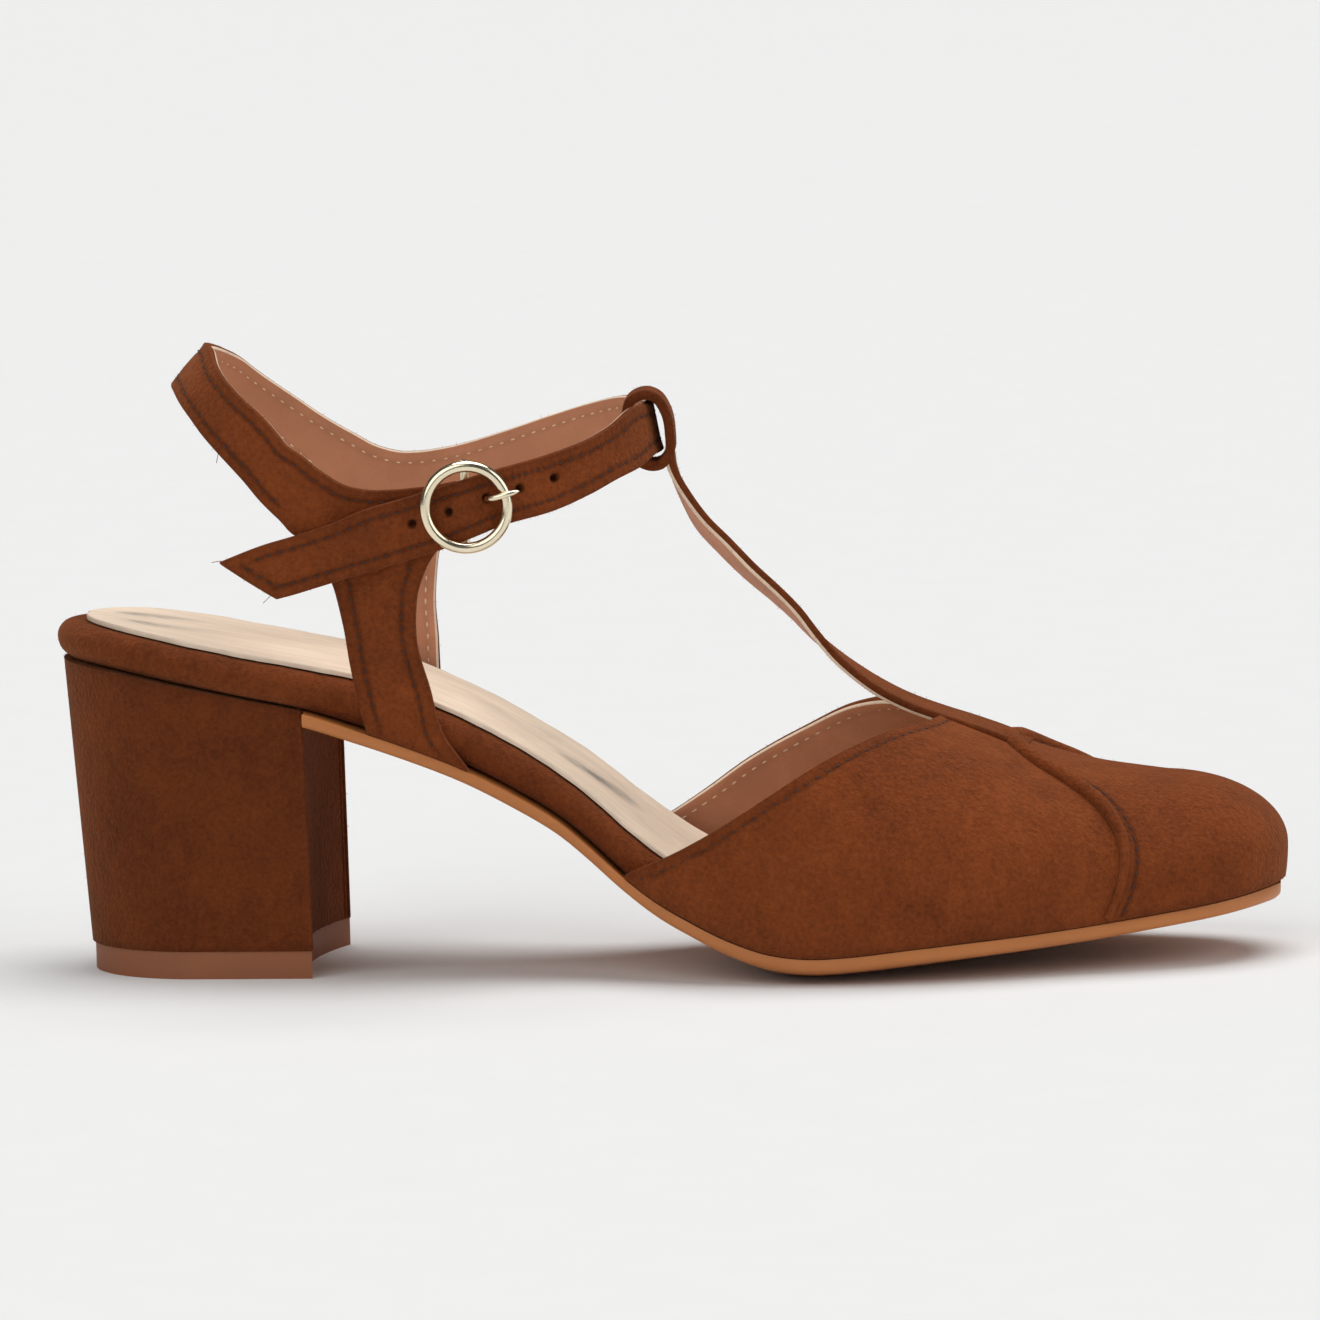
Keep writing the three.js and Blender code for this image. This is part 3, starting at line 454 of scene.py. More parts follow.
def crest_point(x):
    share = share_of(x)
    return np.array((x, CREST_SHIFT(share), mix(TOE_HEIGHT, INSTEP_HEIGHT, CREST_RISE(share))))


def section_point(foot, crest, up):
    plan = foot[:2] - crest[:2]
    reach = max(math.hypot(*plan), 1e-6)
    forward = ease((foot[0] - place_at(0.75)) / (0.13 * LENGTH))
    tuck = FOOT_TUCK - CAP_PROUD * forward
    power = mix(BALL_POWER, TOE_POWER, forward)
    if up >= 1:
        return crest
    if up <= WIDEST_UP:
        u = up / WIDEST_UP
        radius, z = reach + tuck * (1 - (1 - u) ** 2), foot[2] + WIDEST_RISE * u
    else:
        turn = (up - WIDEST_UP) / (1 - WIDEST_UP) * math.pi / 2
        radius = (reach + tuck) * max(0, math.cos(turn)) ** (2 / power)
        z = mix(foot[2] + WIDEST_RISE, crest[2], math.sin(turn) ** (2 / power))
    return np.array((*(crest[:2] + plan / reach * radius), z))


def body_point(side, crest_x, up):
    touch = TOE_CENTRE + TOE_RADIUS * math.sin(TOE_TURN[side])
    swing = (touch - SWING_START) / (TOE_CENTRE - SWING_START)
    x = crest_x if crest_x <= SWING_START else SWING_START + (crest_x - SWING_START) * swing
    foot = np.array((x, edge_y(side, x, 0), edge_height(x) + sloped_clearance(x)))
    return section_point(foot, crest_point(crest_x), up)


def toe_point(turn, up):
    x = TOE_CENTRE + TOE_RADIUS * math.sin(turn)
    y = TOE_SHIFT - TOE_RADIUS * math.cos(turn)
    foot = np.array((x, y, edge_height(x) + sloped_clearance(x)))
    return section_point(foot, crest_point(TOE_CENTRE), up)


TOPLINE_HEIGHT = {side: curve(TOPLINE, side) for side in SIGN}
THROAT_HEIGHT = crest_point(THROAT_X)[2]
TOPLINE_CACHE = {}


def topline_x(side, up):
    if up >= 1:
        return THROAT_X
    if (side, up) not in TOPLINE_CACHE:
        low, high = place_at(TOPLINE[1][0][0]), THROAT_X
        for _ in range(24):
            x = (low + high) / 2
            line = TOPLINE_HEIGHT[side](share_of(x)) * THROAT_HEIGHT
            low, high = (x, high) if body_point(side, x, up)[2] > line else (low, x)
        TOPLINE_CACHE[side, up] = (low + high) / 2
    return TOPLINE_CACHE[side, up]


SEAM_SHARE = curve(SEAM, "at")


def seam_x(side, up):
    return place_at(SEAM_SHARE(up))


def upper_grid(start_x, body_count, fan_count, levels):
    def body(side):
        return [[body_point(side, mix(start_x(side, up), TOE_CENTRE, i / body_count), up) for up in levels]
                for i in range(body_count)]

    fan = [[toe_point(turn, up) for up in levels]
           for turn in spread(TOE_TURN["outer"], math.pi - TOE_TURN["inner"], fan_count)]
    return body("outer") + fan + body("inner")[::-1]


# Ankle form, band and posts
ANKLE_AT = {name: curve(ANKLE, name) for name in ANKLE[0][1:]}
BAND_AT = {name: curve(BAND_TABLE, name) for name in BAND_TABLE[0][1:]}


def ankle_point(turn, height, out):
    level = height / STRAP_HEIGHT
    back, front = ANKLE_AT["back"](level) * LENGTH, ANKLE_AT["front"](level) * LENGTH
    long = (front - back) / 2
    cos, sin = math.cos(math.radians(turn)), math.sin(math.radians(turn))
    wide = ANKLE_AT["outer" if sin >= 0 else "inner"](level) * (BALL_WIDTH / 2)
    normal = np.array((cos / long, -sin / wide, 0))
    pull = FRONT_PULL * max(0, cos) ** FRONT_POWER - BACK_PULL * max(0, -cos) ** BACK_POWER
    on_form = np.array((back + long + long * cos - pull, -wide * sin, height))
    return on_form + normal / np.linalg.norm(normal) * out


def band_point(step, share):
    turn = mix(BAND_AT["low_turn"](step), BAND_AT["high_turn"](step), share)
    height = mix(BAND_AT["low"](step), BAND_AT["high"](step), share) * STRAP_HEIGHT
    return ankle_point(turn, height, BAND_AT["out"](step) * BAND)


POST_AT = {side: {name: curve(POSTS[side][2], name) for name in ("back", "front")} for side in POSTS}


def post_point(side, step, down):
    first, last, _ = POSTS[side]
    top = band_point(step, 0)
    if down == 0:
        return top
    ends = band_point(first, 0)[0], band_point(last, 0)[0]
    share = (top[0] - min(ends)) / abs(ends[1] - ends[0])
    edge = POST_AT[side]
    x = mix(edge["back"](down), edge["front"](down), share) * LENGTH
    foot_x = mix(edge["back"](1), edge["front"](1), share) * LENGTH
    height = mix(top[2], edge_height(foot_x) + sloped_clearance(foot_x), down)
    level = height / STRAP_HEIGHT
    back = ANKLE_AT["back"](level) * LENGTH
    long = (ANKLE_AT["front"](level) * LENGTH - back) / 2
    turn = math.degrees(math.acos(max(-1, min(1, (x - back - long) / long))))
    on_form = ankle_point(turn if side == "outer" else -turn, height, BAND / 2)
    low = 1 - ease((height / STRAP_HEIGHT - 0.418) / (0.602 - 0.418))
    return np.array((x, mix(on_form[1], edge_y(side, x, BAND / 2), low), height))


# Instep strap and its loop
INSTEP_AT = {name: curve(INSTEP, name) for name in INSTEP[0][1:]}
BAND_FRONT = band_point(35, 0.5)
LOOP_FOOT = BAND_FRONT + STRAP_WIDTH * np.array((0.33, 0, -0.52))
CAP_POINT = crest_point(place_at(0.791))


def instep_middle(step):
    x = mix(LOOP_FOOT[0], CAP_POINT[0], INSTEP_AT["run"](step))
    z = mix(CAP_POINT[2], LOOP_FOOT[2], INSTEP_AT["rise"](step))
    return np.array((x, INSTEP_AT["shift"](step) * TOE_SHIFT, z))


def instep_point(step, share):
    ahead = instep_middle(step + 0.02) - instep_middle(step - 0.02)
    above = np.cross((0, 1, 0), ahead / np.linalg.norm(ahead))
    above = above / np.linalg.norm(above)
    turn = math.radians(INSTEP_AT["twist"](step))
    sideways = np.array((0, math.cos(turn), 0)) - above * math.sin(turn)
    return instep_middle(step) + sideways * share * INSTEP_AT["width"](step) * INSTEP_WIDTH


def smooth_line(stops, count, closed=False):
    """Catmull-Rom line through the stops."""
    stops = [np.array(stop, float) for stop in stops]
    size = len(stops)
    spans = size if closed else size - 1

    def stop(i):
        if closed:
            return stops[i % size]
        if i < 0:
            return 2 * stops[0] - stops[1]
        return stops[i] if i < size else 2 * stops[-1] - stops[-2]

    line = []
    for k in range(count + 1):
        t = min(spans - 1e-9, k / count * spans)
        i, u = int(t), t - int(t)
        a, b, c, d = (stop(i + j) for j in (-1, 0, 1, 2))
        line.append(0.5 * (2 * b + (c - a) * u + (2 * a - 5 * b + 4 * c - d) * u ** 2
                           + (3 * b - a - 3 * c + d) * u ** 3))
    return line


# Mesh building: sheets of points, walled shells, blocks and tubes
def sheet(grids):
    points, faces, index = [], [], {}

    def index_of(point):
        key = tuple(round(float(c), 3) for c in point)
        if key not in index:
            index[key] = len(points)
            points.append(point)
        return index[key]

    for grid in grids:
        rows = [[index_of(point) for point in row] for row in grid]
        for low, high in zip(rows, rows[1:]):
            for j in range(len(low) - 1):
                face = list(dict.fromkeys((low[j], high[j], high[j + 1], low[j + 1])))
                if len(face) > 2:
                    faces.append(face)
    return np.array(points, float), faces


def unit_rows(vectors):
    return vectors / np.maximum(np.linalg.norm(vectors, axis=1, keepdims=True), 1e-9)


def sheet_normals(points, faces):
    normals = np.zeros_like(points)
    for face in faces:
        a, b, c = points[face[0]], points[face[1]], points[face[2]]
        normal = np.cross(b - a, c - a)
        if len(face) == 4:
            normal = normal + np.cross(c - a, points[face[3]] - a)
        for i in face:
            normals[i] += normal
    return unit_rows(normals)


def distances(points, targets):
    tree = KDTree(len(targets))
    for i, target in enumerate(targets):
        tree.insert(target, i)
    tree.balance()
    return np.array([tree.find(point)[2] for point in points])


def crease_relief(points, creases):
    relief = np.zeros(len(points))
    for start, end, width, depth in creases:
        start, end = np.array(start, float), np.array(end, float)
        along = end - start
        t = np.clip((points - start) @ along / (along @ along), 0, 1)
        gap = np.linalg.norm(points - start - t[:, None] * along, axis=1)
        relief += depth * np.exp(-(gap / width) ** 2)
    return relief


class Shape:
    """Points, faces and their finishes, with soft marks such as seams kept per point."""

    def __init__(self):
        self.points, self.faces, self.finishes = [], [], []
        self.marks = {"rim": [], "seam": []}

    def add(self, points, faces, finish=0, rim=None, seam=None):
        first = len(self.points)
        self.points.extend(tuple(point) for point in points)
        self.faces.extend([first + i for i in face] for face in faces)
        kinds = finish if isinstance(finish, list) else [finish] * len(faces)
        self.finishes.extend(kinds)
        for name, values in (("rim", rim), ("seam", seam)):
            self.marks[name].extend([0.0] * len(points) if values is None else [float(v) for v in values])

    def make(self, name, finishes, nodes, slot_name, sharp=50):
        mesh = bpy.data.meshes.new(name)
        mesh.from_pydata([tuple(c * 0.001 for c in point) for point in self.points], [], self.faces)
        for finish in finishes:
            mesh.materials.append(finish)
        mesh.polygons.foreach_set("material_index", self.finishes)
        for mark, values in self.marks.items():
            mesh.attributes.new(mark, "FLOAT", "POINT").data.foreach_set("value", values)
        mesh.validate()
        mesh.shade_smooth()
        mesh.set_sharp_from_angle(angle=math.radians(sharp))
        piece = bpy.data.objects.new(name, mesh)
        bpy.context.scene.collection.objects.link(piece)
        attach(piece, "root")
        if nodes:
            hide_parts(*nodes)
        return piece

    def mark_again(self, piece):
        """Give a cut piece its marks back, each point from the nearest old one."""
        tree = KDTree(len(self.points))
        for i, point in enumerate(self.points):
            tree.insert(Vector(point) * 0.001, i)
        tree.balance()
        nearest = [tree.find(vertex.co)[1] for vertex in piece.data.vertices]
        for mark, values in self.marks.items():
            old = piece.data.attributes.get(mark)
            if old:
                piece.data.attributes.remove(old)
            data = piece.data.attributes.new(mark, "FLOAT", "POINT").data
            data.foreach_set("value", [values[i] for i in nearest])


def shell(shape, grids, outer, inner, bulge=0.3, creases=(), seams=(), groove=0.16, level=True,
          pits=()):
    """Walled sheet: finish 0 outside and on the outer half of its edge, 1 inside, 2 the lining's cut edge."""
    points, faces = sheet(grids)
    normals = sheet_normals(points, faces)
    flat = normals.copy()
    if level:
        flat[:, 2] = np.maximum(0, flat[:, 2])
        flat = unit_rows(flat)
    edges = {}
    for face in faces:
        for p, q in zip(face, face[1:] + face[:1]):
            if edges.pop((q, p), None) is None:
                edges[p, q] = True
    border = np.zeros_like(points)
    for p, q in edges:
        side = np.cross(points[q] - points[p], normals[p] + normals[q])
        border[p] += side
        border[q] += side
    border = unit_rows(border)
    rim_points = sorted({i for edge in edges for i in edge})
    rim = np.exp(-distances(points, points[rim_points]) / 1.3)
    seam = np.zeros(len(points))
    if seams:
        seam = np.exp(-(distances(points, [spot for line in seams for spot, _ in line]) / 0.55) ** 2)
    relief = (crease_relief(points, creases) - groove * seam)[:, None]
    pit = np.zeros(len(points))
    for centre, radius, depth in pits:
        gap = np.linalg.norm(points - centre, axis=1)
        pit = np.maximum(pit, depth * np.exp(-(gap / radius) ** 6))
        # The holes also raise the seam mark, which paints shade inside them.
        seam = np.maximum(seam, np.minimum(1.6, 1.9 * np.exp(-(gap / radius) ** 4)))
    outside = points + flat * (outer + relief - pit[:, None])
    inside = points + flat * (inner + relief * 0.6)
    count, turns = len(points), 8
    rings = []
    for k in range(1, turns):
        angle = math.pi * k / turns
        middle, half = (outside + inside) / 2, (outside - inside) / 2
        rings.append((middle + half * math.cos(angle) + border * bulge * math.sin(angle))[rim_points])
    place = {i: n for n, i in enumerate(rim_points)}
    size = len(rim_points)

    def ring_index(i, k):
        if k == 0:
            return i
        return count + i if k == turns else 2 * count + (k - 1) * size + place[i]

    all_faces = list(faces) + [[count + i for i in face[::-1]] for face in faces]
    kinds = [0] * len(faces) + [1] * len(faces)
    for p, q in edges:
        for k in range(turns):
            all_faces.append([ring_index(p, k), ring_index(p, k + 1), ring_index(q, k + 1), ring_index(q, k)])
            kinds.append(0 if k < turns * 0.6 else 2)
    everything = np.concatenate([outside, inside] + rings)
    rims = np.concatenate([rim, rim, np.ones(size * (turns - 1))])
    marks = np.concatenate([seam, seam, np.zeros(size * (turns - 1))])
    shape.add(everything, all_faces, kinds, rims, marks)


def block(shape, rows, shares, levels, point):
    """Closed solid over rows along the shoe, shares across it and levels in its height."""
    def grid(first, second, place):
        return [[point(*place(u, v)) for v in second] for u in first]

    points, faces = sheet([
        grid(rows, shares, lambda r, s: (r, s, levels[-1])),
        grid(rows, shares[::-1], lambda r, s: (r, s, levels[0])),
        grid(rows, levels, lambda r, t: (r, shares[0], t)),
        grid(rows, levels[::-1], lambda r, t: (r, shares[-1], t)),
        grid(levels, shares, lambda t, s: (rows[0], s, t)),
        grid(shares, levels, lambda s, t: (rows[-1], s, t)),
    ])
    shape.add(points, faces)


def tube(shape, line, radius, sides=10, closed=False):
    """Round rod along a line; radius is one number or one for each point."""
    line = np.array(line, float)
    count = len(line)
    radii = [radius] * count if np.isscalar(radius) else list(radius)
    before = np.roll(line, 1, 0) if closed else np.vstack([line[:1], line[:-1]])
    after = np.roll(line, -1, 0) if closed else np.vstack([line[1:], line[-1:]])
    ahead = unit_rows(after - before)
    side = np.cross(ahead[0], (0.3, 0.5, 0.81))
    points, faces = [], []
    for i in range(count):
        side = side - ahead[i] * (side @ ahead[i])
        side = side / np.linalg.norm(side)
        up = np.cross(ahead[i], side)
        for k in range(sides):
            turn = 2 * math.pi * k / sides
            points.append(line[i] + radii[i] * (side * math.cos(turn) + up * math.sin(turn)))
    for i in range(count if closed else count - 1):
        j = (i + 1) % count
        for k in range(sides):
            m = (k + 1) % sides
            faces.append([i * sides + k, i * sides + m, j * sides + m, j * sides + k])
    if not closed:
        faces.append(list(range(sides))[::-1])
        faces.append([(count - 1) * sides + k for k in range(sides)])
    shape.add(points, faces)


def rounded_ends(count, radius):
    return [radius * math.sqrt(max(0.02, 1 - abs(2 * i / (count - 1) - 1) ** 6)) for i in range(count)]


# Seam lines: points and outward normals along a surface, a set distance inside its edge
def seam_line(surface, stops, distance, out, centre):
    line = []
    for stop in stops:
        edge = surface(stop, 0)
        across = (surface(stop, 0.02) - edge) / 0.02
        along = surface(stop + 0.01, 0) - surface(stop - 0.01, 0)
        along = along / max(np.linalg.norm(along), 1e-9)
        reach = np.linalg.norm(across - along * (across @ along))
        spot = surface(stop, distance / max(reach, 1e-6))
        normal = np.cross(along, across)
        normal = normal / max(np.linalg.norm(normal), 1e-9)
        if normal @ (spot - centre(spot)) < 0:
            normal = -normal
        line.append((spot + normal * out, normal))
    return line


def stitch_row(shape, line, length, gap, radius, lift=0.0):
    """Short threads laid along a seam line, each dipping into the leather at both ends."""
    spots = np.array([spot for spot, _ in line])
    normals = np.array([normal for _, normal in line])
    run = np.concatenate([[0], np.cumsum(np.linalg.norm(np.diff(spots, axis=0), axis=1))])
    start = gap
    while start + length < run[-1]:
        thread = []
        for t in spread(0, 1, 6):
            s = start + t * length
            spot = np.array([np.interp(s, run, spots[:, c]) for c in range(3)])
            normal = np.array([np.interp(s, run, normals[:, c]) for c in range(3)])
            thread.append(spot + normal * (lift + radius * (1.5 * math.sin(math.pi * t) - 1.2)))
        tube(shape, thread, rounded_ends(7, radius), 6)
        start += length + gap


# Shader maths
class Value:
    """A node's output; arithmetic on it adds Math nodes."""

    def __init__(self, finish, socket):
        self.finish = finish
        self.socket = socket

    def math(self, operation, *inputs):
        return self.finish.add("ShaderNodeMath", {"operation": operation}, dict(enumerate(inputs)))

    def __add__(self, other):
        return self.math("ADD", self, other)

    def __sub__(self, other):
        return self.math("SUBTRACT", self, other)

    def __rsub__(self, other):
        return self.math("SUBTRACT", other, self)

    def __mul__(self, other):
        return self.math("MULTIPLY", self, other)

    __radd__ = __add__
    __rmul__ = __mul__


class Finish:
    """One procedural material, built on its Principled shader."""

    def __init__(self, name, **constants):
        self.material = bpy.data.materials.new(name)
        self.material.use_nodes = True
        self.nodes = self.material.node_tree.nodes
        self.links = self.material.node_tree.links
        self.shader = self.nodes["Principled BSDF"]
        self.place = self.add("ShaderNodeTexCoord", {}, {}, "Object")
        for socket, value in constants.items():
            self.shader.inputs[socket.replace("_", " ")].default_value = value

    def add(self, kind, settings, inputs, output=0):
        node = self.nodes.new(kind)
        for key, value in settings.items():
            setattr(node, key, value)
        for key, value in inputs.items():
            self.feed(node.inputs[key], value)
        return Value(self, node.outputs[output])

    def feed(self, socket, value):
        if isinstance(value, Value):
            self.links.new(value.socket, socket)
        else:
            socket.default_value = value

    def noise(self, scale, detail=3.0, rough=0.55, stretch=None, bend=0.0):
        place = self.place
        if stretch:
            place = self.add("ShaderNodeMapping", {}, {"Vector": place, "Scale": stretch})
        inputs = {"Vector": place, "Scale": scale, "Detail": detail, "Roughness": rough, "Distortion": bend}
        return self.add("ShaderNodeTexNoise", {}, inputs)

    def ramp(self, value, low, high, start=0.0, end=1.0):
        return self.add("ShaderNodeMapRange", {}, {"Value": value, 1: low, 2: high, 3: start, 4: end})

    def blend(self, share, first, second, kind="MIX"):
        settings = {"data_type": "RGBA", "blend_type": kind}
        return self.add("ShaderNodeMix", settings, {0: share, 6: first, 7: second}, 2)

    def mark(self, name):
        return self.add("ShaderNodeAttribute", {"attribute_name": name}, {}, "Fac")

    def finish(self, colour, roughness, height, distance, strength=1.0):
        bump = {"Height": height, "Distance": distance, "Strength": strength}
        self.feed(self.shader.inputs["Base Color"], colour)
        self.feed(self.shader.inputs["Roughness"], roughness)
        self.feed(self.shader.inputs["Normal"], self.add("ShaderNodeBump", {}, bump))
        return self.material


FINISHES = {}


def shade(colour, factor):
    return (*(c * factor for c in tuple(colour)[:3]), 1)


def suede(name, tone):
    """Napped suede: soft clouds, brushed nap, fine fibre, paler scuffs, a darker band along its rims with
    painted shade where it meets other parts, and painted shade in its stitch grooves and punched holes.
    """
    if name in FINISHES:
        return FINISHES[name]
    colours = bpy.context.scene.shoe_colours
    f = Finish(name, Sheen_Weight=0.22, Sheen_Roughness=0.45, Sheen_Tint=(0.9, 0.42, 0.2, 1),
               Specular_IOR_Level=0.12)
    cloud = f.ramp(f.noise(38, 4, 0.6, bend=0.4), 0.34, 0.66)
    brush = f.ramp(f.noise(190, 4, 0.65, (1, 1, 0.55), 0.6), 0.3, 0.7)
    nap = f.ramp(f.noise(1100, 3, 0.6), 0.28, 0.72)
    fibre = f.noise(3200, 2, 0.6)
    value = cloud * 0.3 + brush * 0.24 + nap * 0.38 + fibre * 0.3 - 0.1
    base = f.blend(value, shade(colours.suede_dark, tone), shade(colours.suede_light, tone))
    # Darker towards every rim: painted shade where the pieces meet the sole, the seat and the top lift, and a
    # darker band along their other cut edges.
    edge_shade_and_tone = f.blend(f.mark("rim") * 0.35, base, shade(colours.suede_dark, tone * 0.75))
    scuff = f.ramp(f.noise(75, 5, 0.7, bend=1.2), 0.66, 0.74) * 0.35
    rubbed = f.blend(scuff, edge_shade_and_tone, shade(colours.suede_light, tone * 1.25))
    # Darker along the seam mark: painted shade in the stitch grooves and inside the punched holes.
    recess_shaded = f.blend(f.mark("seam") * 0.6, rubbed, shade(colours.suede_dark, tone * 0.45))
    height = nap * 0.5 + fibre * 0.3 + brush * 0.35
    FINISHES[name] = f.finish(recess_shaded, 0.86 + fibre * 0.14, height, 0.0006, 0.9)
    return FINISHES[name]


def lining(name, colour, rough=0.55):
    """Smooth rose-tan leather with fine pores, pull-up clouds and soft creases."""
    if name in FINISHES:
        return FINISHES[name]
    f = Finish(name, Specular_IOR_Level=0.35)
    cloud = f.ramp(f.noise(55, 4, 0.6, bend=0.8), 0.32, 0.68)
    pores = f.noise(1500, 3, 0.6)
    folds = f.noise(160, 5, 0.65, (1, 1, 2.2), 1.5)
    base = f.blend(cloud * 0.7 + pores * 0.3, shade(colour, 0.78), shade(colour, 1.08))
    # Darker along the seam mark: painted shade in the stitch grooves and inside the punched holes.
    recess_shaded = f.blend(f.mark("seam") * 0.4, base, shade(colour, 0.6))
    FINISHES[name] = f.finish(recess_shaded, rough + pores * 0.2, folds * 0.7 + pores * 0.3, 0.0003, 0.6)
    return FINISHES[name]


def plain(name, colour, rough, grain=900, depth=0.0001, spread_of_tone=0.2, **constants):
    """Even finish with a fine grain, for rubber, cut edges and thread."""
    if name in FINISHES:
        return FINISHES[name]
    f = Finish(name, **constants)
    cloud = f.ramp(f.noise(70, 4, 0.6), 0.3, 0.7)
    fine = f.noise(grain, 3, 0.6)
    value = cloud * 0.5 + fine * 0.5
    base = f.blend(value, shade(colour, 1 - spread_of_tone), shade(colour, 1 + spread_of_tone))
    FINISHES[name] = f.finish(base, rough + fine * 0.12, fine, depth, 0.6)
    return FINISHES[name]


def sock_leather(colours):
    """Pale beige leather, its grain in long streaks, rubbed grey under the foot."""
    f = Finish("sock_leather", Specular_IOR_Level=0.3)
    streak = f.ramp(f.noise(120, 5, 0.65, (0.25, 2.2, 1), 0.7), 0.3, 0.7)
    pores = f.noise(1300, 3, 0.6)
    value = streak * 0.75 + pores * 0.25
    base = f.blend(value, shade(colours.sock, 0.8), shade(colours.sock, 1.06))
    smudge = f.mark("seam") * f.ramp(f.noise(140, 5, 0.7, (0.5, 1.6, 1), 1.0), 0.3, 0.62)
    rubbed = f.blend(smudge * 0.85, base, (0.16, 0.15, 0.14, 1))
    edged = f.blend(f.mark("rim") * 0.5, rubbed, shade(colours.sock, 0.5))
    return f.finish(edged, 0.5 + pores * 0.2, streak * 0.4 + pores * 0.6, 0.0002, 0.6)


def sole_leather(colours):
    """Orange-tan sole with thin layers along its edge and a rubbed tread."""
    f = Finish("sole_leather", Specular_IOR_Level=0.4)
    layers = f.noise(260, 3, 0.6, (0.15, 0.15, 4), 0.2)
    grain = f.noise(900, 3, 0.6)
    cloud = f.ramp(f.noise(45, 4, 0.6), 0.3, 0.7)
    value = layers * 0.4 + grain * 0.25 + cloud * 0.35
    base = f.blend(value, shade(colours.sole, 0.75), shade(colours.sole, 1.15))
    return f.finish(base, 0.42 + grain * 0.2, layers * 0.6 + grain * 0.4, 0.00015, 0.6)


def brass(colours):
    """Pale gold plating with hairline scratches."""
    if "brass" in FINISHES:
        return FINISHES["brass"]
    f = Finish("brass", Metallic=1.0)
    hair = f.noise(900, 4, 0.7, (1, 1, 8), 0.5)
    cloud = f.noise(300, 3, 0.6)
    base = f.blend(cloud, shade(colours.metal, 0.88), shade(colours.metal, 1.08))
    FINISHES["brass"] = f.finish(base, 0.12 + hair * 0.12, hair, 0.00002, 0.5)
    return FINISHES["brass"]


# Properties a user would change
def size_property(name, description, default):
    return bpy.props.FloatProperty(name=name, description=description, default=default, min=0.0)


def colour_property(name, description, default):
    return bpy.props.FloatVectorProperty(
        name=name, description=description, default=default, subtype="COLOR", min=0.0, max=1.0)


class ShoeSizes(bpy.types.PropertyGroup):
    stitch_length: size_property("Stitch length", "Length of one stitch in mm", 1.7)
    stitch_gap: size_property("Stitch gap", "Gap between two stitches in mm", 0.75)
    thread_radius: size_property("Thread radius", "Radius of the sewing thread in mm", 0.2)
    stitch_inset: size_property("Stitch inset", "Distance of the stitches from the edge in mm", 2.0)
    groove: size_property("Stitch groove", "Depth of the groove pulled in by the thread in mm", 0.16)
    fibre_length: size_property("Fibre length", "Longest loose fibre on suede edges in mm", 0.7)


class ShoeColours(bpy.types.PropertyGroup):
    suede_dark: colour_property("Suede, dark", "Suede brushed against its nap", (0.088, 0.018, 0.0042))
    suede_light: colour_property("Suede, light", "Suede brushed along its nap", (0.285, 0.067, 0.0155))
    lining: colour_property("Lining", "Rose-tan lining leather", (0.54, 0.23, 0.12))
    cut_edge: colour_property("Cut edge", "Cream cut edge of the lining", (0.78, 0.6, 0.44))
    sock: colour_property("Sock", "Pale leather sock on the footbed", (0.93, 0.75, 0.58))
    sole: colour_property("Sole", "Orange-tan outsole", (0.5, 0.175, 0.046))
    lift: colour_property("Top lift", "Brown rubber of the top lift", (0.28, 0.092, 0.034))
    thread: colour_property("Brown thread", "Thread on the suede", (0.05, 0.014, 0.005))
    cream_thread: colour_property("Cream thread", "Thread on the lining", (0.72, 0.52, 0.34))
    metal: colour_property("Metal", "Pale gold plating of the buckle", (0.86, 0.76, 0.56))


def upper_finishes(colours, name="suede", tone=1.0):
    return [
        suede(name, tone),
        lining("lining_leather", colours.lining),
        plain("cut_edge", colours.cut_edge, 0.7),
    ]


# Seam lines shared by the pieces and their stitches
def wing_centre(spot):
    return np.array((spot[0], 4, 15))


def ankle_centre(spot):
    return np.array((35, 0, spot[2]))


def wing_seam(side, inset, out):
    def surface(up, ahead):
        up = min(0.9999, max(0, up))
        return body_point(side, topline_x(side, up) + ahead, up)

    return seam_line(surface, spread(0.03, 0.985, 90), inset, out, wing_centre)


def cap_seam(side, inset, out):
    def surface(up, ahead):
        up = min(0.9999, max(0, up))
        return body_point(side, seam_x(side, up) + ahead, up)

    return seam_line(surface, spread(0.02, 0.93, 80), inset, out, wing_centre)


def band_seam(edge, first, last, inset, out):
    way = 1 if edge == 0 else -1
    stops = spread(first, last, int((last - first) * 8))

    def surface(step, inward):
        return band_point(step, edge + way * inward)

    return seam_line(surface, stops, inset, out, ankle_centre)


def post_seam(side, end, inset, out):
    first, last, _ = POSTS[side]
    edge, way = (first, 1) if end == 0 else (last, -1)

    def surface(down, inward):
        return post_point(side, edge + way * inward, min(1, max(0.001, down)))

    centre = (lambda spot: np.array((spot[0], 0, spot[2])))
    return seam_line(surface, spread(0.04, 0.97, 60), inset, out, centre)


def tip_seam(inset, out):
    last = BAND_TABLE[1][-1][0]
    return seam_line(lambda share, back: band_point(last - back, share), spread(0.2, 0.8, 20), inset, out,
                     ankle_centre)


def quarter_seams(inset, out):
    lines = [band_seam(0, 8, 22.6, inset, out), band_seam(0, 29.4, 48.6, inset, out)]
    lines.append(band_seam(1, 0.3, 48.4, inset, out))
    lines.append(tip_seam(inset, out))
    for side in POSTS:
        lines.extend(post_seam(side, end, inset, out) for end in (0, 1))
    return lines


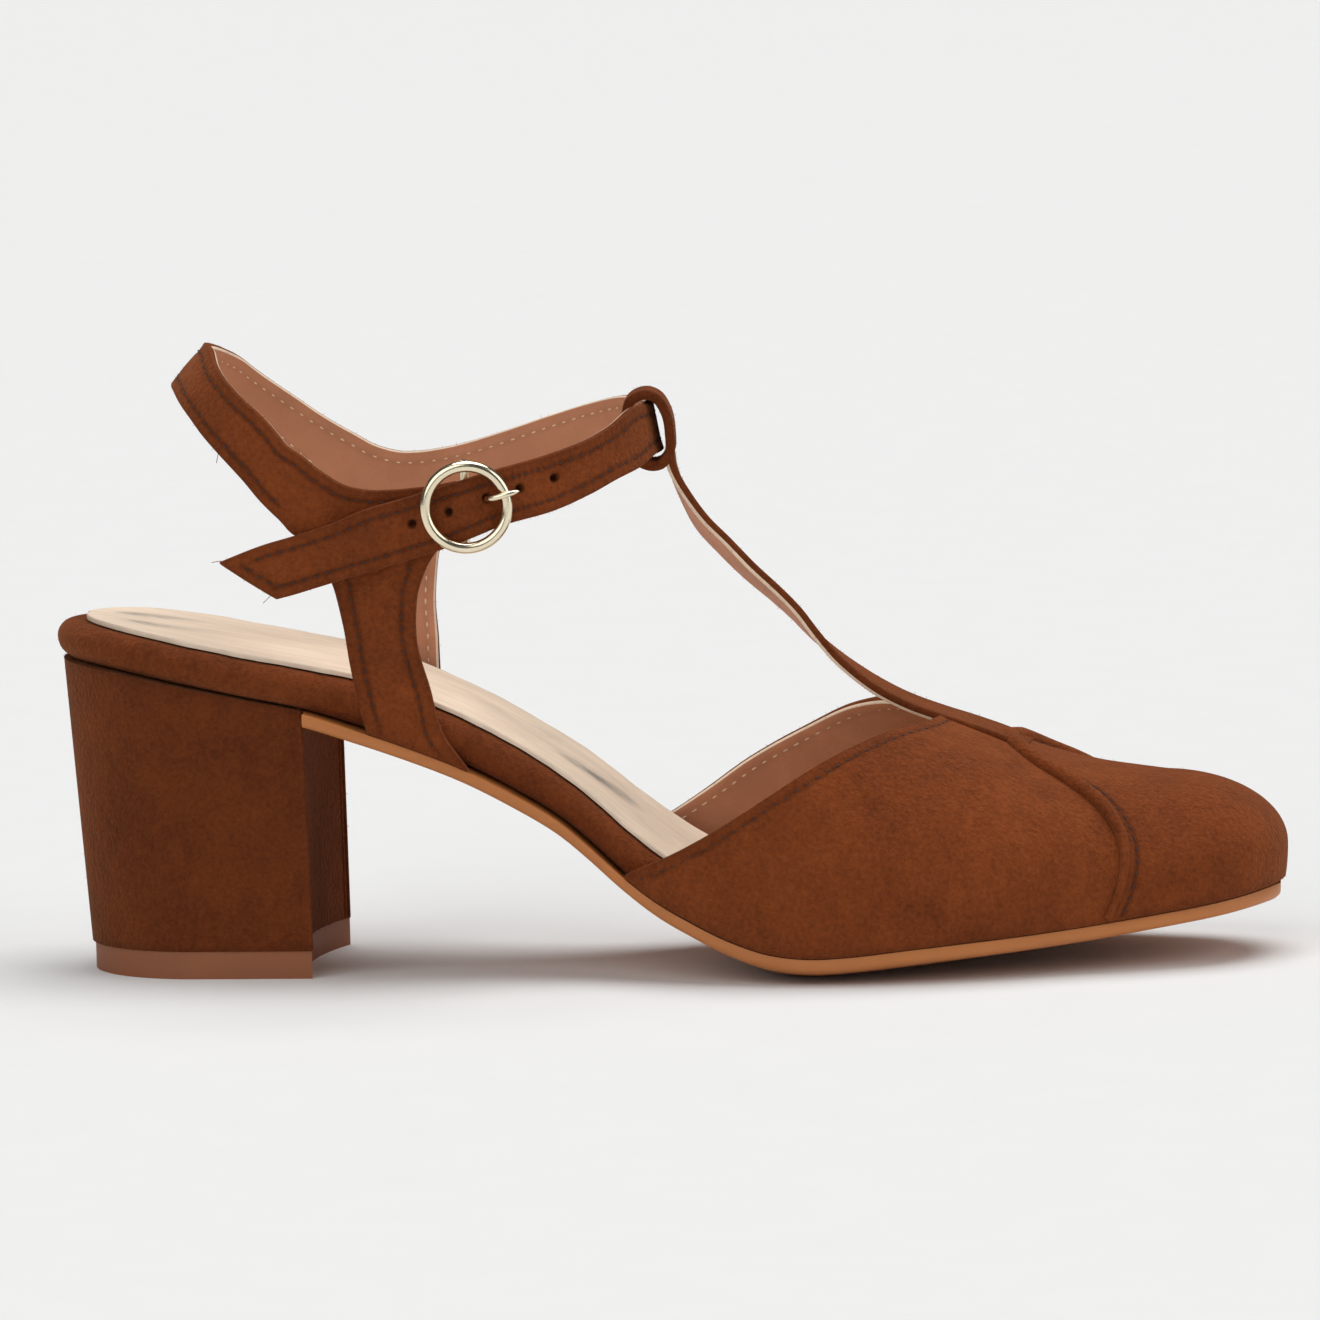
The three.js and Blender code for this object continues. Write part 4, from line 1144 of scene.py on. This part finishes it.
# Buckle frame: x towards the toe, y inwards, z up, its middle on the bar
BAR_HEIGHT = mix(BAND_AT["low"](0), BAND_AT["high"](0), 0.5) * STRAP_HEIGHT
BAR_MIDDLE = ankle_point(BAR_TURN, BAR_HEIGHT, BAND / 2)
BAR_OUT = ankle_point(BAR_TURN, BAR_HEIGHT, BAND / 2 + 1) - BAR_MIDDLE
BUCKLE_TURN = math.atan2(BAR_OUT[0], -BAR_OUT[1])
FOLD_RADIUS = BAR + CLEARANCE + FOLD_THICKNESS
RING_DROP = FOLD_RADIUS + 3 * CLEARANCE + BAND
TAB_LENGTH = (BAND_AT["high"](0) - BAND_AT["low"](0)) * STRAP_HEIGHT
PRONG_RISE = 0.5
HOLE_STEPS = (39.81, 40.54, 41.3, 42.72, 43.92)
HOLE_SHARE = 0.56


def to_buckle(points):
    cos, sin = math.cos(BUCKLE_TURN), math.sin(BUCKLE_TURN)
    turned = [(x * cos - y * sin, x * sin + y * cos, z) for x, y, z in points]
    return [np.array(point) + BAR_MIDDLE for point in turned]


def from_buckle(point):
    x, y, z = point - BAR_MIDDLE
    cos, sin = math.cos(BUCKLE_TURN), math.sin(BUCKLE_TURN)
    return x * cos + y * sin, y * cos - x * sin, z


class ShoeOperator:
    """Shared settings of the shoe's operators."""

    bl_options = {"REGISTER", "UNDO"}


class SHOE_OT_footbed(ShoeOperator, bpy.types.Operator):
    """Build the padded, suede-wrapped footbed"""

    bl_idname = "shoe.footbed"
    bl_label = "Footbed"

    def execute(self, context):
        shape = Shape()

        def point(row, share, turn):
            rim = row(SKIN)
            round_by = (insole_top(rim) - edge_height(rim) - CLEARANCE) / 2
            inset = SKIN + round_by * (1 - math.cos(math.radians(turn)))
            x = row(inset)
            y = mix(edge_y("outer", x, inset), edge_y("inner", x, inset), (share + 1) / 2)
            pucker = 0.12 * math.sin(x * 1.9) * math.cos(math.radians(turn)) * math.sin(x * 0.23)
            bottom = bed_height(x, y) + sloped_clearance(x)
            z = mix(bottom, insole_top(x), (1 + math.sin(math.radians(turn))) / 2)
            return np.array((x, y + SIGN["outer" if y < 0 else "inner"] * pucker, z))

        block(shape, all_rows(110), spread(-1, 1, 22), spread(-90, 90, 14), point)
        piece = shape.make("footbed_rim", [suede("rim_suede", 0.84)], ["insole"], "rim_suede")
        return {"FINISHED"}


END_TURNS = (6, 12, 18, 25, 32, 39, 46, 53, 60, 66, 72, 78, 84, 90)


def seat_rows():
    def row(turn):
        def place(inset, back_inset=None):
            long = SEAT_LONG - (inset if back_inset is None else back_inset)
            return SEAT_CENTRE - long * math.sin(math.radians(turn))

        return place

    return [row(turn) for turn in END_TURNS[::-1]]


def body_rows(start, end, count):
    return [lambda inset, back_inset=None, x=x: x for x in spread(start, end, count)]


def toe_rows():
    return [lambda inset, back_inset=None, t=t: TOE_CENTRE + (TOE_RADIUS - inset) * math.sin(math.radians(t))
            for t in END_TURNS]


def all_rows(count):
    return seat_rows() + body_rows(SEAT_CENTRE, TOE_CENTRE, count) + toe_rows()


def bed_height(x, y):
    left, right = edge_y("outer", x, CLEARANCE), edge_y("inner", x, CLEARANCE)
    share = clamp(abs((2 * y - left - right) / (right - left))) if right > left else 1
    return edge_height(x) - CROWN_AT(share_of(x)) * CROWN * (1 - share ** CROWN_POWER)


class SHOE_OT_sock(ShoeOperator, bpy.types.Operator):
    """Lay the pale leather sock on the footbed"""

    bl_idname = "shoe.sock"
    bl_label = "Sock"

    def execute(self, context):
        shape = Shape()
        levels = [(1, 0), (0.25, 0), (0.05, 0.12), (0, 0.4), (0, 0.41)]

        def point(row, share, level):
            depth, extra = level
            wave = 0.22 * math.sin(row(0) * 0.41) + 0.14 * math.sin(row(0) * 1.07 + 1)
            inset, back_inset = SKIN + SOCK_MARGIN + extra + wave, SKIN + SOCK_BACK_MARGIN + extra
            x = row(inset, back_inset)
            left, right = edge_y("outer", x, inset, back_inset), edge_y("inner", x, inset, back_inset)
            y = mix(left, right, (share + 1) / 2)
            swell = 0.18 * math.sin(x * 0.16 + y * 0.2) * (1 - abs(share)) * (1 - depth)
            return np.array((x, y, sock_top(x) - depth * SOCK + swell))

        block(shape, all_rows(130), spread(-1, 1, 40), levels, point)
        points = np.array(shape.points)
        rubs = [
            ((-12, -7, 70), (2, -2, 70), 2.6),
            ((-16, 4, 70), (-2, 9, 70), 2.2),
            ((44, 8, 62), (58, 11, 57), 3.0),
            ((60, -2, 54), (70, 4, 47), 3.2),
            ((74, -6, 42), (84, -2, 32), 2.6),
            ((20, 13, 66), (30, 15, 64), 2.0),
        ]
        smudge = crease_relief(points, [(a, b, width, 1.0) for a, b, width in rubs])
        margins = SKIN + SOCK_MARGIN, SKIN + SOCK_BACK_MARGIN
        border = np.array([min(abs(y - edge_y(side, x, *margins)) for side in SIGN) for x, y, _ in points])
        shape.marks["seam"] = [float(min(1, value)) for value in smudge]
        shape.marks["rim"] = [float(value) for value in np.exp(-border / 0.5)]
        shape.make("sock_lining", [sock_leather(context.scene.shoe_colours)], ["sock"], "sock_leather")
        return {"FINISHED"}


OUTSOLE_START = BREAST_TOP + 2 * CLEARANCE


def breast_x(y, rise):
    half = mix(*HEEL_HALF, rise)
    return mix(BREAST_BASE, BREAST_TOP, rise) - BREAST_HOLLOW * (1 - clamp(abs(y) / half) ** 2)


class SHOE_OT_outsole(ShoeOperator, bpy.types.Operator):
    """Build the thin outsole from the heel's breast to the toe"""

    bl_idname = "shoe.outsole"
    bl_label = "Outsole"

    def execute(self, context):
        shape = Shape()
        levels = [(0.8, 0), (0.35, 0.1), (0.08, 0.25), (0, 0.45), (0, 0.8), (0.12, 1)]

        def point(row, share, level):
            inset = CLEARANCE + level[0]
            station = row(inset)
            y = mix(edge_y("outer", station, inset), edge_y("inner", station, inset), (share + 1) / 2)
            fade = clamp(1 - (station - OUTSOLE_START) / BREAST_FADE)
            x = station + (breast_x(y, 1) + 2 * CLEARANCE - OUTSOLE_START) * fade
            return np.array((x, y, max(0, bed_height(x, y) - OUTSOLE * (1 - level[1]))))

        rows = body_rows(OUTSOLE_START, TOE_CENTRE, 120) + toe_rows()
        block(shape, rows, spread(-1, 1, 24), levels, point)
        finish = sole_leather(context.scene.shoe_colours)
        shape.make("sole_edge_and_tread", [finish], ["outsole"], "sole_leather")
        return {"FINISHED"}


HEEL_ROWS = [(turn, 0) for turn in END_TURNS[::-1]] + [(0, reach) for reach in spread(0, 1, 12)]


def heel_point(row, share, back, half, rise, height):
    turn, reach = math.radians(row[0]), row[1]
    y = share * half * math.cos(turn)
    x = -back * math.sin(turn) if turn > 0 else breast_x(y, rise) * reach
    return np.array((x, y, height(x)))


def soften(piece, shape, width, segments=3):
    """Round the sharp edges of a piece for good."""
    bevel = piece.modifiers.new("soft_edge", "BEVEL")
    bevel.width, bevel.segments, bevel.limit_method = width * 0.001, segments, "ANGLE"
    bevel.angle_limit = math.radians(50)
    keep_modifiers(piece, shape)


def keep_modifiers(piece, shape):
    graph = bpy.context.evaluated_depsgraph_get()
    mesh = bpy.data.meshes.new_from_object(piece.evaluated_get(graph), depsgraph=graph)
    piece.modifiers.clear()
    piece.data = mesh
    shape.mark_again(piece)


class SHOE_OT_heel(ShoeOperator, bpy.types.Operator):
    """Cover the block heel in suede, with its breast strip and seam"""

    bl_idname = "shoe.heel"
    bl_label = "Heel"

    def execute(self, context):
        shape = Shape()

        def point(row, share, rise):
            back, half = mix(*HEEL_BACK, rise), mix(*HEEL_HALF, rise)
            return heel_point(row, share, back, half, rise, lambda x: mix(LIFT, edge_height(x), rise))

        block(shape, HEEL_ROWS, spread(-1, 1, 28), spread(0, 1, 36), point)
        points = np.array(shape.points)
        # The seam mark paints shade along the breast seams; the rim mark paints shade where the heel meets
        # the seat and the top lift.
        lines = []
        for side in (-1, 1):
            spots = []
            for rise in spread(0, 1, 60):
                y = side * (mix(*HEEL_HALF, rise) - 0.15)
                spots.append((breast_x(y, rise) - 2.6, y, mix(LIFT, edge_height(20), rise)))
            lines.extend(spots)
        seam = np.exp(-(distances(points, lines) / 0.6) ** 2)
        top = np.exp(-np.abs(points[:, 2] - np.array([edge_height(x) for x in points[:, 0]])) / 1.2)
        bottom = np.exp(-np.abs(points[:, 2] - LIFT) / 0.8)
        shape.marks["seam"] = [float(v) for v in seam]
        shape.marks["rim"] = [float(v) for v in np.maximum(top, bottom)]
        # A darker copy of the suede, tone 0.7: painted shade on the heel's upright sides.
        heel_finish = suede("heel_suede", 0.7)
        piece = shape.make("heel_cover", [heel_finish], ["heel_block"], "heel_suede")
        soften(piece, shape, 0.7)
        fold = Shape()
        for side in (-1, 1):
            for out, radius in ((0.5, 0.55), (1.9, 0.35)):
                line = []
                for rise in spread(0.005, 0.985, 40):
                    y = side * (mix(*HEEL_HALF, rise) - out)
                    line.append((breast_x(y, rise) - radius * 0.35, y, mix(LIFT, edge_height(21), rise)))
                tube(fold, line, radius, 10)
        fold.make("heel_breast_folds", [heel_finish], ["heel_block"], "heel_suede")
        return {"FINISHED"}


class SHOE_OT_lift(ShoeOperator, bpy.types.Operator):
    """Build the rubber top lift"""

    bl_idname = "shoe.lift"
    bl_label = "Top lift"

    def execute(self, context):
        shape = Shape()

        def point(row, share, level):
            return heel_point(row, share, LIFT_BACK, LIFT_HALF, 0, lambda x: level * LIFT)

        block(shape, HEEL_ROWS, spread(-1, 1, 20), spread(0, 1, 4), point)
        finish = plain("lift_rubber", context.scene.shoe_colours.lift, 0.55, 700, 0.0001, 0.12)
        piece = shape.make("lift_rubber", [finish], ["top_lift"], "lift_rubber")
        soften(piece, shape, 0.5)
        return {"FINISHED"}


class SHOE_OT_wings(ShoeOperator, bpy.types.Operator):
    """Build the hollow wings with their lining"""

    bl_idname = "shoe.wings"
    bl_label = "Wings"

    def execute(self, context):
        sizes, colours = context.scene.shoe_sizes, context.scene.shoe_colours
        seams = [wing_seam(side, sizes.stitch_inset, 0) for side in SIGN]
        levels = spread(0, 0.9, 52) + [0.915, 0.93, 0.945, 0.96, 0.97, 0.98, 0.99, 1]
        shape = Shape()
        grid = upper_grid(topline_x, 84, 22, levels)
        shell(shape, [grid], 0, -WALL, 0.3, WING_CREASES, seams, sizes.groove)
        shape.make("wings", upper_finishes(colours), ["upper"], "suede")
        return {"FINISHED"}


class SHOE_OT_toe_cap(ShoeOperator, bpy.types.Operator):
    """Lay the toe cap on the wings, with its raised folded seam"""

    bl_idname = "shoe.toe_cap"
    bl_label = "Toe cap"

    def execute(self, context):
        colours = context.scene.shoe_colours
        levels = [0.012] + spread(0.03, 0.9, 46) + [0.93, 0.96, 0.98, 1]
        shape = Shape()
        seams = [cap_seam(side, 2.4, 0) for side in SIGN]
        shell(shape, [upper_grid(seam_x, 60, 34, levels)], CAP_PROUD, -0.6, 0.25, CAP_CREASES, seams, 0.1)
        lines = {side: cap_seam(side, 0.0, 0.3) for side in SIGN}
        ridge = [spot for spot, _ in lines["outer"]] + [crest_point(seam_x("outer", 1))]
        ridge += [spot for spot, _ in lines["inner"]][::-1]
        count = len(ridge)
        radii = [mix(0.7, 1.8, ease(1 - abs(2 * i / (count - 1) - 1))) for i in range(count)]
        tube(shape, ridge, radii, 14)
        shape.make("toe_cap", upper_finishes(colours), ["upper"], "suede", 70)
        return {"FINISHED"}


class SHOE_OT_instep_strap(ShoeOperator, bpy.types.Operator):
    """Build the instep strap and the loop that it ends in"""

    bl_idname = "shoe.instep_strap"
    bl_label = "Instep strap"

    def execute(self, context):
        colours = context.scene.shoe_colours
        shape = Shape()
        last = INSTEP[1][-1][0]
        shares = spread(0.5, -0.5, 16)
        grid = [[instep_point(step, share) for share in shares] for step in spread(0, last, 170)]
        half = INSTEP_STRAP / 2
        shell(shape, [grid], half, -half, 0.45, level=False)
        line = smooth_line([(x * STRAP_WIDTH, z * STRAP_WIDTH) for x, z in LOOP_LINE], 96, True)
        turn = math.radians(LOOP_TURN)
        loop = []
        for x, z in line:
            row = []
            for y in spread(-LOOP_WIDTH / 2, LOOP_WIDTH / 2, 10):
                spot = (x * math.cos(turn) - y * math.sin(turn), x * math.sin(turn) + y * math.cos(turn))
                row.append(np.array((BAND_FRONT[0] + spot[0], spot[1], BAND_FRONT[2] + z)))
            loop.append(row)
        strap_faces = len(shape.finishes)
        shell(shape, [loop], LOOP_THICKNESS / 2, -LOOP_THICKNESS / 2, 0.35, level=False)
        shape.finishes[strap_faces:] = [0] * (len(shape.finishes) - strap_faces)
        shape.make("instep_strap", upper_finishes(colours, "strap_suede", 0.9), ["upper"], "suede")
        return {"FINISHED"}


class SHOE_OT_quarter_strap(ShoeOperator, bpy.types.Operator):
    """Build the ankle band with its punched holes, its posts and the buckle fold"""

    bl_idname = "shoe.quarter_strap"
    bl_label = "Quarter strap"

    def execute(self, context):
        sizes, colours = context.scene.shoe_sizes, context.scene.shoe_colours
        last = BAND_TABLE[1][-1][0]
        steps = [i / 6 for i in range(last * 6 + 1)]
        first_hole, last_hole = HOLE_STEPS[0] - 0.2, HOLE_STEPS[-1] + 0.2
        fine = spread(first_hole, last_hole, 130)
        rows = sorted([step for step in steps if not first_hole <= step <= last_hole] + fine)
        grids = [[[band_point(step, share) for share in spread(1, 0, 34)] for step in rows]]
        for side, (first, final, _) in POSTS.items():
            grids.append([[post_point(side, step, down) for down in spread(0, 1, 60)]
                          for step in steps if first <= step <= final])
        shape = Shape()
        seams = quarter_seams(sizes.stitch_inset, 0)
        pits = [(band_point(step, HOLE_SHARE), HOLE * 0.85, 1.5) for step in HOLE_STEPS]
        shell(shape, grids, BAND / 2, -BAND / 2, 0.3, BAND_CREASES, seams, sizes.groove, pits=pits)
        for low, high in ((-TAB_LENGTH / 2, PRONG_RISE - 1.2), (PRONG_RISE + 1.2, TAB_LENGTH / 2)):
            tube(shape, to_buckle([(0, 0, z) for z in spread(low, high, 8)]),
                 rounded_ends(9, FOLD_RADIUS), 24)
        shape.make("ankle_band", upper_finishes(colours), ["quarter_strap"], "suede")
        return {"FINISHED"}


class SHOE_OT_buckle(ShoeOperator, bpy.types.Operator):
    """Build the ring, its bar and legs, and the prong"""

    bl_idname = "shoe.buckle"
    bl_label = "Buckle"

    def execute(self, context):
        metal = brass(context.scene.shoe_colours)
        ring = Shape()
        turns = spread(0, 2 * math.pi, 72)[:-1]
        circle = [(RING_RADIUS * math.cos(t), -RING_DROP, RING_RADIUS * math.sin(t)) for t in turns]
        tube(ring, to_buckle(circle), WIRE, 20, closed=True)
        reach = RING_RADIUS + BAR
        tube(ring, to_buckle([(0, 0, z) for z in spread(-reach, reach, 10)]), BAR, 16)
        for end in (-1, 1):
            leg = [(0, y, end * RING_RADIUS) for y in spread(BAR, -RING_DROP, 6)]
            tube(ring, to_buckle(leg), BAR, 16)
        ring.make("buckle_ring", [metal], ["buckle_frame"], "brass")
        prong = Shape()
        tip = RING_DROP + WIRE + CLEARANCE + PRONG
        hole = from_buckle(band_point(HOLE_STEPS[2], HOLE_SHARE))
        stops = [(0.4, 0, 0.3), (0.76, 0.1, 0.6), (0.96, 0.28, 0.95), (1, 0.46, 1), (1.05, 0.68, 1.05),
                 (1.25, 0.88, 1.25), (1.65, 0.985, 1.7), (2.1, 1, 2.2), (2.6, 0.96, 2.7)]
        path = smooth_line([(a * hole[0], -b * tip, mix(PRONG_RISE, hole[2], c)) for a, b, c in stops], 60)
        tube(prong, to_buckle(path), rounded_ends(61, PRONG), 14)
        eye = [((BAR + CLEARANCE + PRONG) * math.cos(t), (BAR + CLEARANCE + PRONG) * math.sin(t), PRONG_RISE)
               for t in spread(0, 2 * math.pi, 28)[:-1]]
        tube(prong, to_buckle(eye), PRONG, 12, closed=True)
        prong.make("buckle_pin", [metal], ["buckle_prong"], "brass")
        return {"FINISHED"}


class SHOE_OT_stitches(ShoeOperator, bpy.types.Operator):
    """Sew the brown and cream stitch rows"""

    bl_idname = "shoe.stitches"
    bl_label = "Stitches"

    def execute(self, context):
        sizes, colours = context.scene.shoe_sizes, context.scene.shoe_colours
        thread = sizes.stitch_length, sizes.stitch_gap, sizes.thread_radius
        brown, cream = Shape(), Shape()
        inset = sizes.stitch_inset
        for side in SIGN:
            self.row(brown, wing_seam(side, inset, 0), thread, WING_CREASES, sizes.groove)
            self.row(cream, wing_seam(side, inset, -WALL), thread, WING_CREASES, -sizes.groove, -1)
            self.row(brown, cap_seam(side, 2.4, CAP_PROUD), thread, CAP_CREASES, 0.1)
        for line in quarter_seams(inset, BAND / 2):
            self.row(brown, line, thread, BAND_CREASES, sizes.groove)
        for line in quarter_seams(inset, -BAND / 2):
            self.row(cream, line, thread, BAND_CREASES, -sizes.groove, -1)
        brown.make("brown_stitches", [plain("brown_thread", colours.thread, 0.7, 2500)], [], "suede")
        cream.make("cream_stitches", [plain("cream_thread", colours.cream_thread, 0.7, 2500)], [], "suede")
        return {"FINISHED"}

    @staticmethod
    def row(shape, line, thread, creases, sink, way=1):
        spots = np.array([spot for spot, _ in line])
        share = 1 if way > 0 else 0.6
        relief = crease_relief(spots, creases) * share
        moved = [(spot + normal * (lift - sink * share), normal * way)
                 for (spot, normal), lift in zip(line, relief)]
        stitch_row(shape, moved, *thread)


class SHOE_OT_fibres(ShoeOperator, bpy.types.Operator):
    """Scatter short loose fibres along the suede's edges"""

    bl_idname = "shoe.fibres"
    bl_label = "Suede fibres"

    def execute(self, context):
        sizes = context.scene.shoe_sizes
        chance = random.Random(7)
        shape = Shape()
        for name in ("wings", "toe_cap", "instep_strap", "ankle_band", "footbed_rim", "heel_cover"):
            mesh = bpy.data.objects[name].data
            marks = mesh.attributes["rim"]
            rims = [v for v in mesh.vertices if marks.data[v.index].value > 0.55]
            plain_points = [v for v in mesh.vertices if v.co.z > 0.01]
            picked = chance.choices(rims, k=1500) if rims else []
            picked += chance.choices(plain_points, k=1200)
            for vertex in picked:
                root = np.array(vertex.co) * 1000
                lean = np.array([chance.uniform(-1, 1) for _ in range(3)])
                way = np.array(vertex.normal) + lean * 0.9
                way = way / np.linalg.norm(way)
                length = sizes.fibre_length * chance.uniform(0.25, 1) ** 2
                side = np.cross(way, lean)
                side = side / max(np.linalg.norm(side), 1e-9) * 0.03
                bend = np.array([chance.uniform(-1, 1) for _ in range(3)]) * length * 0.25
                middle = root + way * length * 0.5 + bend * 0.4
                shape.add([root - side, root + side, middle + side * 0.8, middle - side * 0.8,
                           root + way * length + bend], [[0, 1, 2, 3], [3, 2, 4]])
        self.threads(shape)
        shape.make("suede_fibres", [suede("fibre_suede", 1.25)], [], "suede")
        return {"FINISHED"}

    @staticmethod
    def threads(shape):
        """Longer loose thread ends at the back band and the strap's tip."""
        last = BAND_TABLE[1][-1][0]
        ends = [(band_point(11.6, 0), (0.8, -0.6, -3.0)), (band_point(last, 0.95), (-2.0, -0.6, 0.8)),
                (band_point(last, 0.1), (-1.2, -0.4, -1.4))]
        for start, way in ends:
            way = np.array(way, float)
            curl = np.array((0.5, -0.3, 0.4))
            tube(shape, [start + way * t + curl * math.sin(4 * t) for t in spread(0, 1, 10)], 0.07, 5)


class SHOE_OT_stage(ShoeOperator, bpy.types.Operator):
    """Lay the pale floor, light it softly and set the camera"""

    bl_idname = "shoe.stage"
    bl_label = "Stage"

    def execute(self, context):
        scene = context.scene
        self.floor(scene)
        self.lights(scene)
        self.camera(scene)
        return {"FINISHED"}

    @staticmethod
    def floor(scene):
        mesh = bpy.data.meshes.new("floor")
        count, reach = 24, 14.0
        places = [(math.copysign(abs(t) ** 2, t) * reach) for t in spread(-1, 1, count)]
        points = [(x, y, 0) for x in places for y in places]
        faces = [(i * (count + 1) + j, (i + 1) * (count + 1) + j, (i + 1) * (count + 1) + j + 1,
                  i * (count + 1) + j + 1) for i in range(count) for j in range(count)]
        mesh.from_pydata(points, [], faces)
        f = Finish("floor_paper", Specular_IOR_Level=0.1)
        grain = f.noise(60, 3, 0.5)
        mesh.materials.append(f.finish(f.blend(grain, (0.79, 0.79, 0.785, 1), (0.81, 0.81, 0.805, 1)),
                                       0.8 + grain * 0.1, grain, 0.00005, 0.2))
        floor = bpy.data.objects.new("floor", mesh)
        scene.collection.objects.link(floor)

    @staticmethod
    def lights(scene):
        scene.view_settings.view_transform = "Standard"
        world = bpy.data.worlds.new("soft_studio")
        scene.world = world
        world.use_nodes = True
        nodes, links = world.node_tree.nodes, world.node_tree.links
        place = nodes.new("ShaderNodeTexCoord")
        apart = nodes.new("ShaderNodeSeparateXYZ")
        reach = nodes.new("ShaderNodeMapRange")
        reach.inputs[1].default_value, reach.inputs[2].default_value = -0.1, 0.9
        reach.inputs[3].default_value, reach.inputs[4].default_value = WORLD_LOW, WORLD_HIGH
        links.new(place.outputs["Generated"], apart.inputs[0])
        links.new(apart.outputs["Z"], reach.inputs[0])
        links.new(reach.outputs[0], nodes["Background"].inputs["Strength"])
        for name, aim, power, spread_of_light in SUNS:
            data = bpy.data.lights.new(name, "SUN")
            data.energy, data.angle = power, math.radians(spread_of_light)
            sun = bpy.data.objects.new(name, data)
            sun.rotation_euler = Vector(aim).to_track_quat("Z", "Y").to_euler()
            scene.collection.objects.link(sun)

    @staticmethod
    def camera(scene):
        azimuth, elevation, roll = (math.radians(a) for a in (7.8, 6.7, -1.5))
        back = Vector((math.sin(azimuth) * math.cos(elevation), -math.cos(azimuth) * math.cos(elevation),
                       math.sin(elevation)))
        right = Vector((math.cos(azimuth), math.sin(azimuth), 0))
        up = back.cross(right)
        rolled_right = right * math.cos(roll) + up * math.sin(roll)
        rolled_up = up * math.cos(roll) - right * math.sin(roll)
        data = bpy.data.cameras.new("camera")
        data.sensor_width, data.sensor_height, data.sensor_fit = 36, 36, "HORIZONTAL"
        data.lens = 10100 / 1320 * 36
        data.clip_end = 100
        camera = bpy.data.objects.new("camera", data)
        eye = Vector((0.0908, 0.0001, 0.0599)) + back * 2.0
        columns = Matrix((rolled_right, rolled_up, back)).transposed().to_4x4()
        camera.matrix_world = Matrix.Translation(eye) @ columns
        scene.collection.objects.link(camera)
        scene.camera = camera


OPERATORS = (
    SHOE_OT_footbed, SHOE_OT_sock, SHOE_OT_outsole, SHOE_OT_heel, SHOE_OT_lift, SHOE_OT_wings,
    SHOE_OT_toe_cap, SHOE_OT_instep_strap, SHOE_OT_quarter_strap, SHOE_OT_buckle, SHOE_OT_stitches,
    SHOE_OT_fibres, SHOE_OT_stage,
)


class SHOE_PT_panel(bpy.types.Panel):
    """Sizes, colours and the operators of the shoe"""

    bl_idname = "SHOE_PT_panel"
    bl_label = "T-strap shoe"
    bl_space_type = "VIEW_3D"
    bl_region_type = "UI"
    bl_category = "Shoe"

    def draw(self, context):
        for group in (context.scene.shoe_sizes, context.scene.shoe_colours):
            column = self.layout.column(align=True)
            for name in group.__annotations__:
                column.prop(group, name)
        for operator in OPERATORS:
            self.layout.operator(operator.bl_idname)


CLASSES = (ShoeSizes, ShoeColours, *OPERATORS, SHOE_PT_panel)


def register():
    for kind in CLASSES:
        bpy.utils.register_class(kind)
    bpy.types.Scene.shoe_sizes = bpy.props.PointerProperty(type=ShoeSizes)
    bpy.types.Scene.shoe_colours = bpy.props.PointerProperty(type=ShoeColours)


def unregister():
    del bpy.types.Scene.shoe_colours
    del bpy.types.Scene.shoe_sizes
    for kind in reversed(CLASSES):
        bpy.utils.unregister_class(kind)


def main():
    register()
    for operator in OPERATORS:
        group, name = operator.bl_idname.split(".")
        getattr(getattr(bpy.ops, group), name)()


if __name__ == "__main__":
    main()
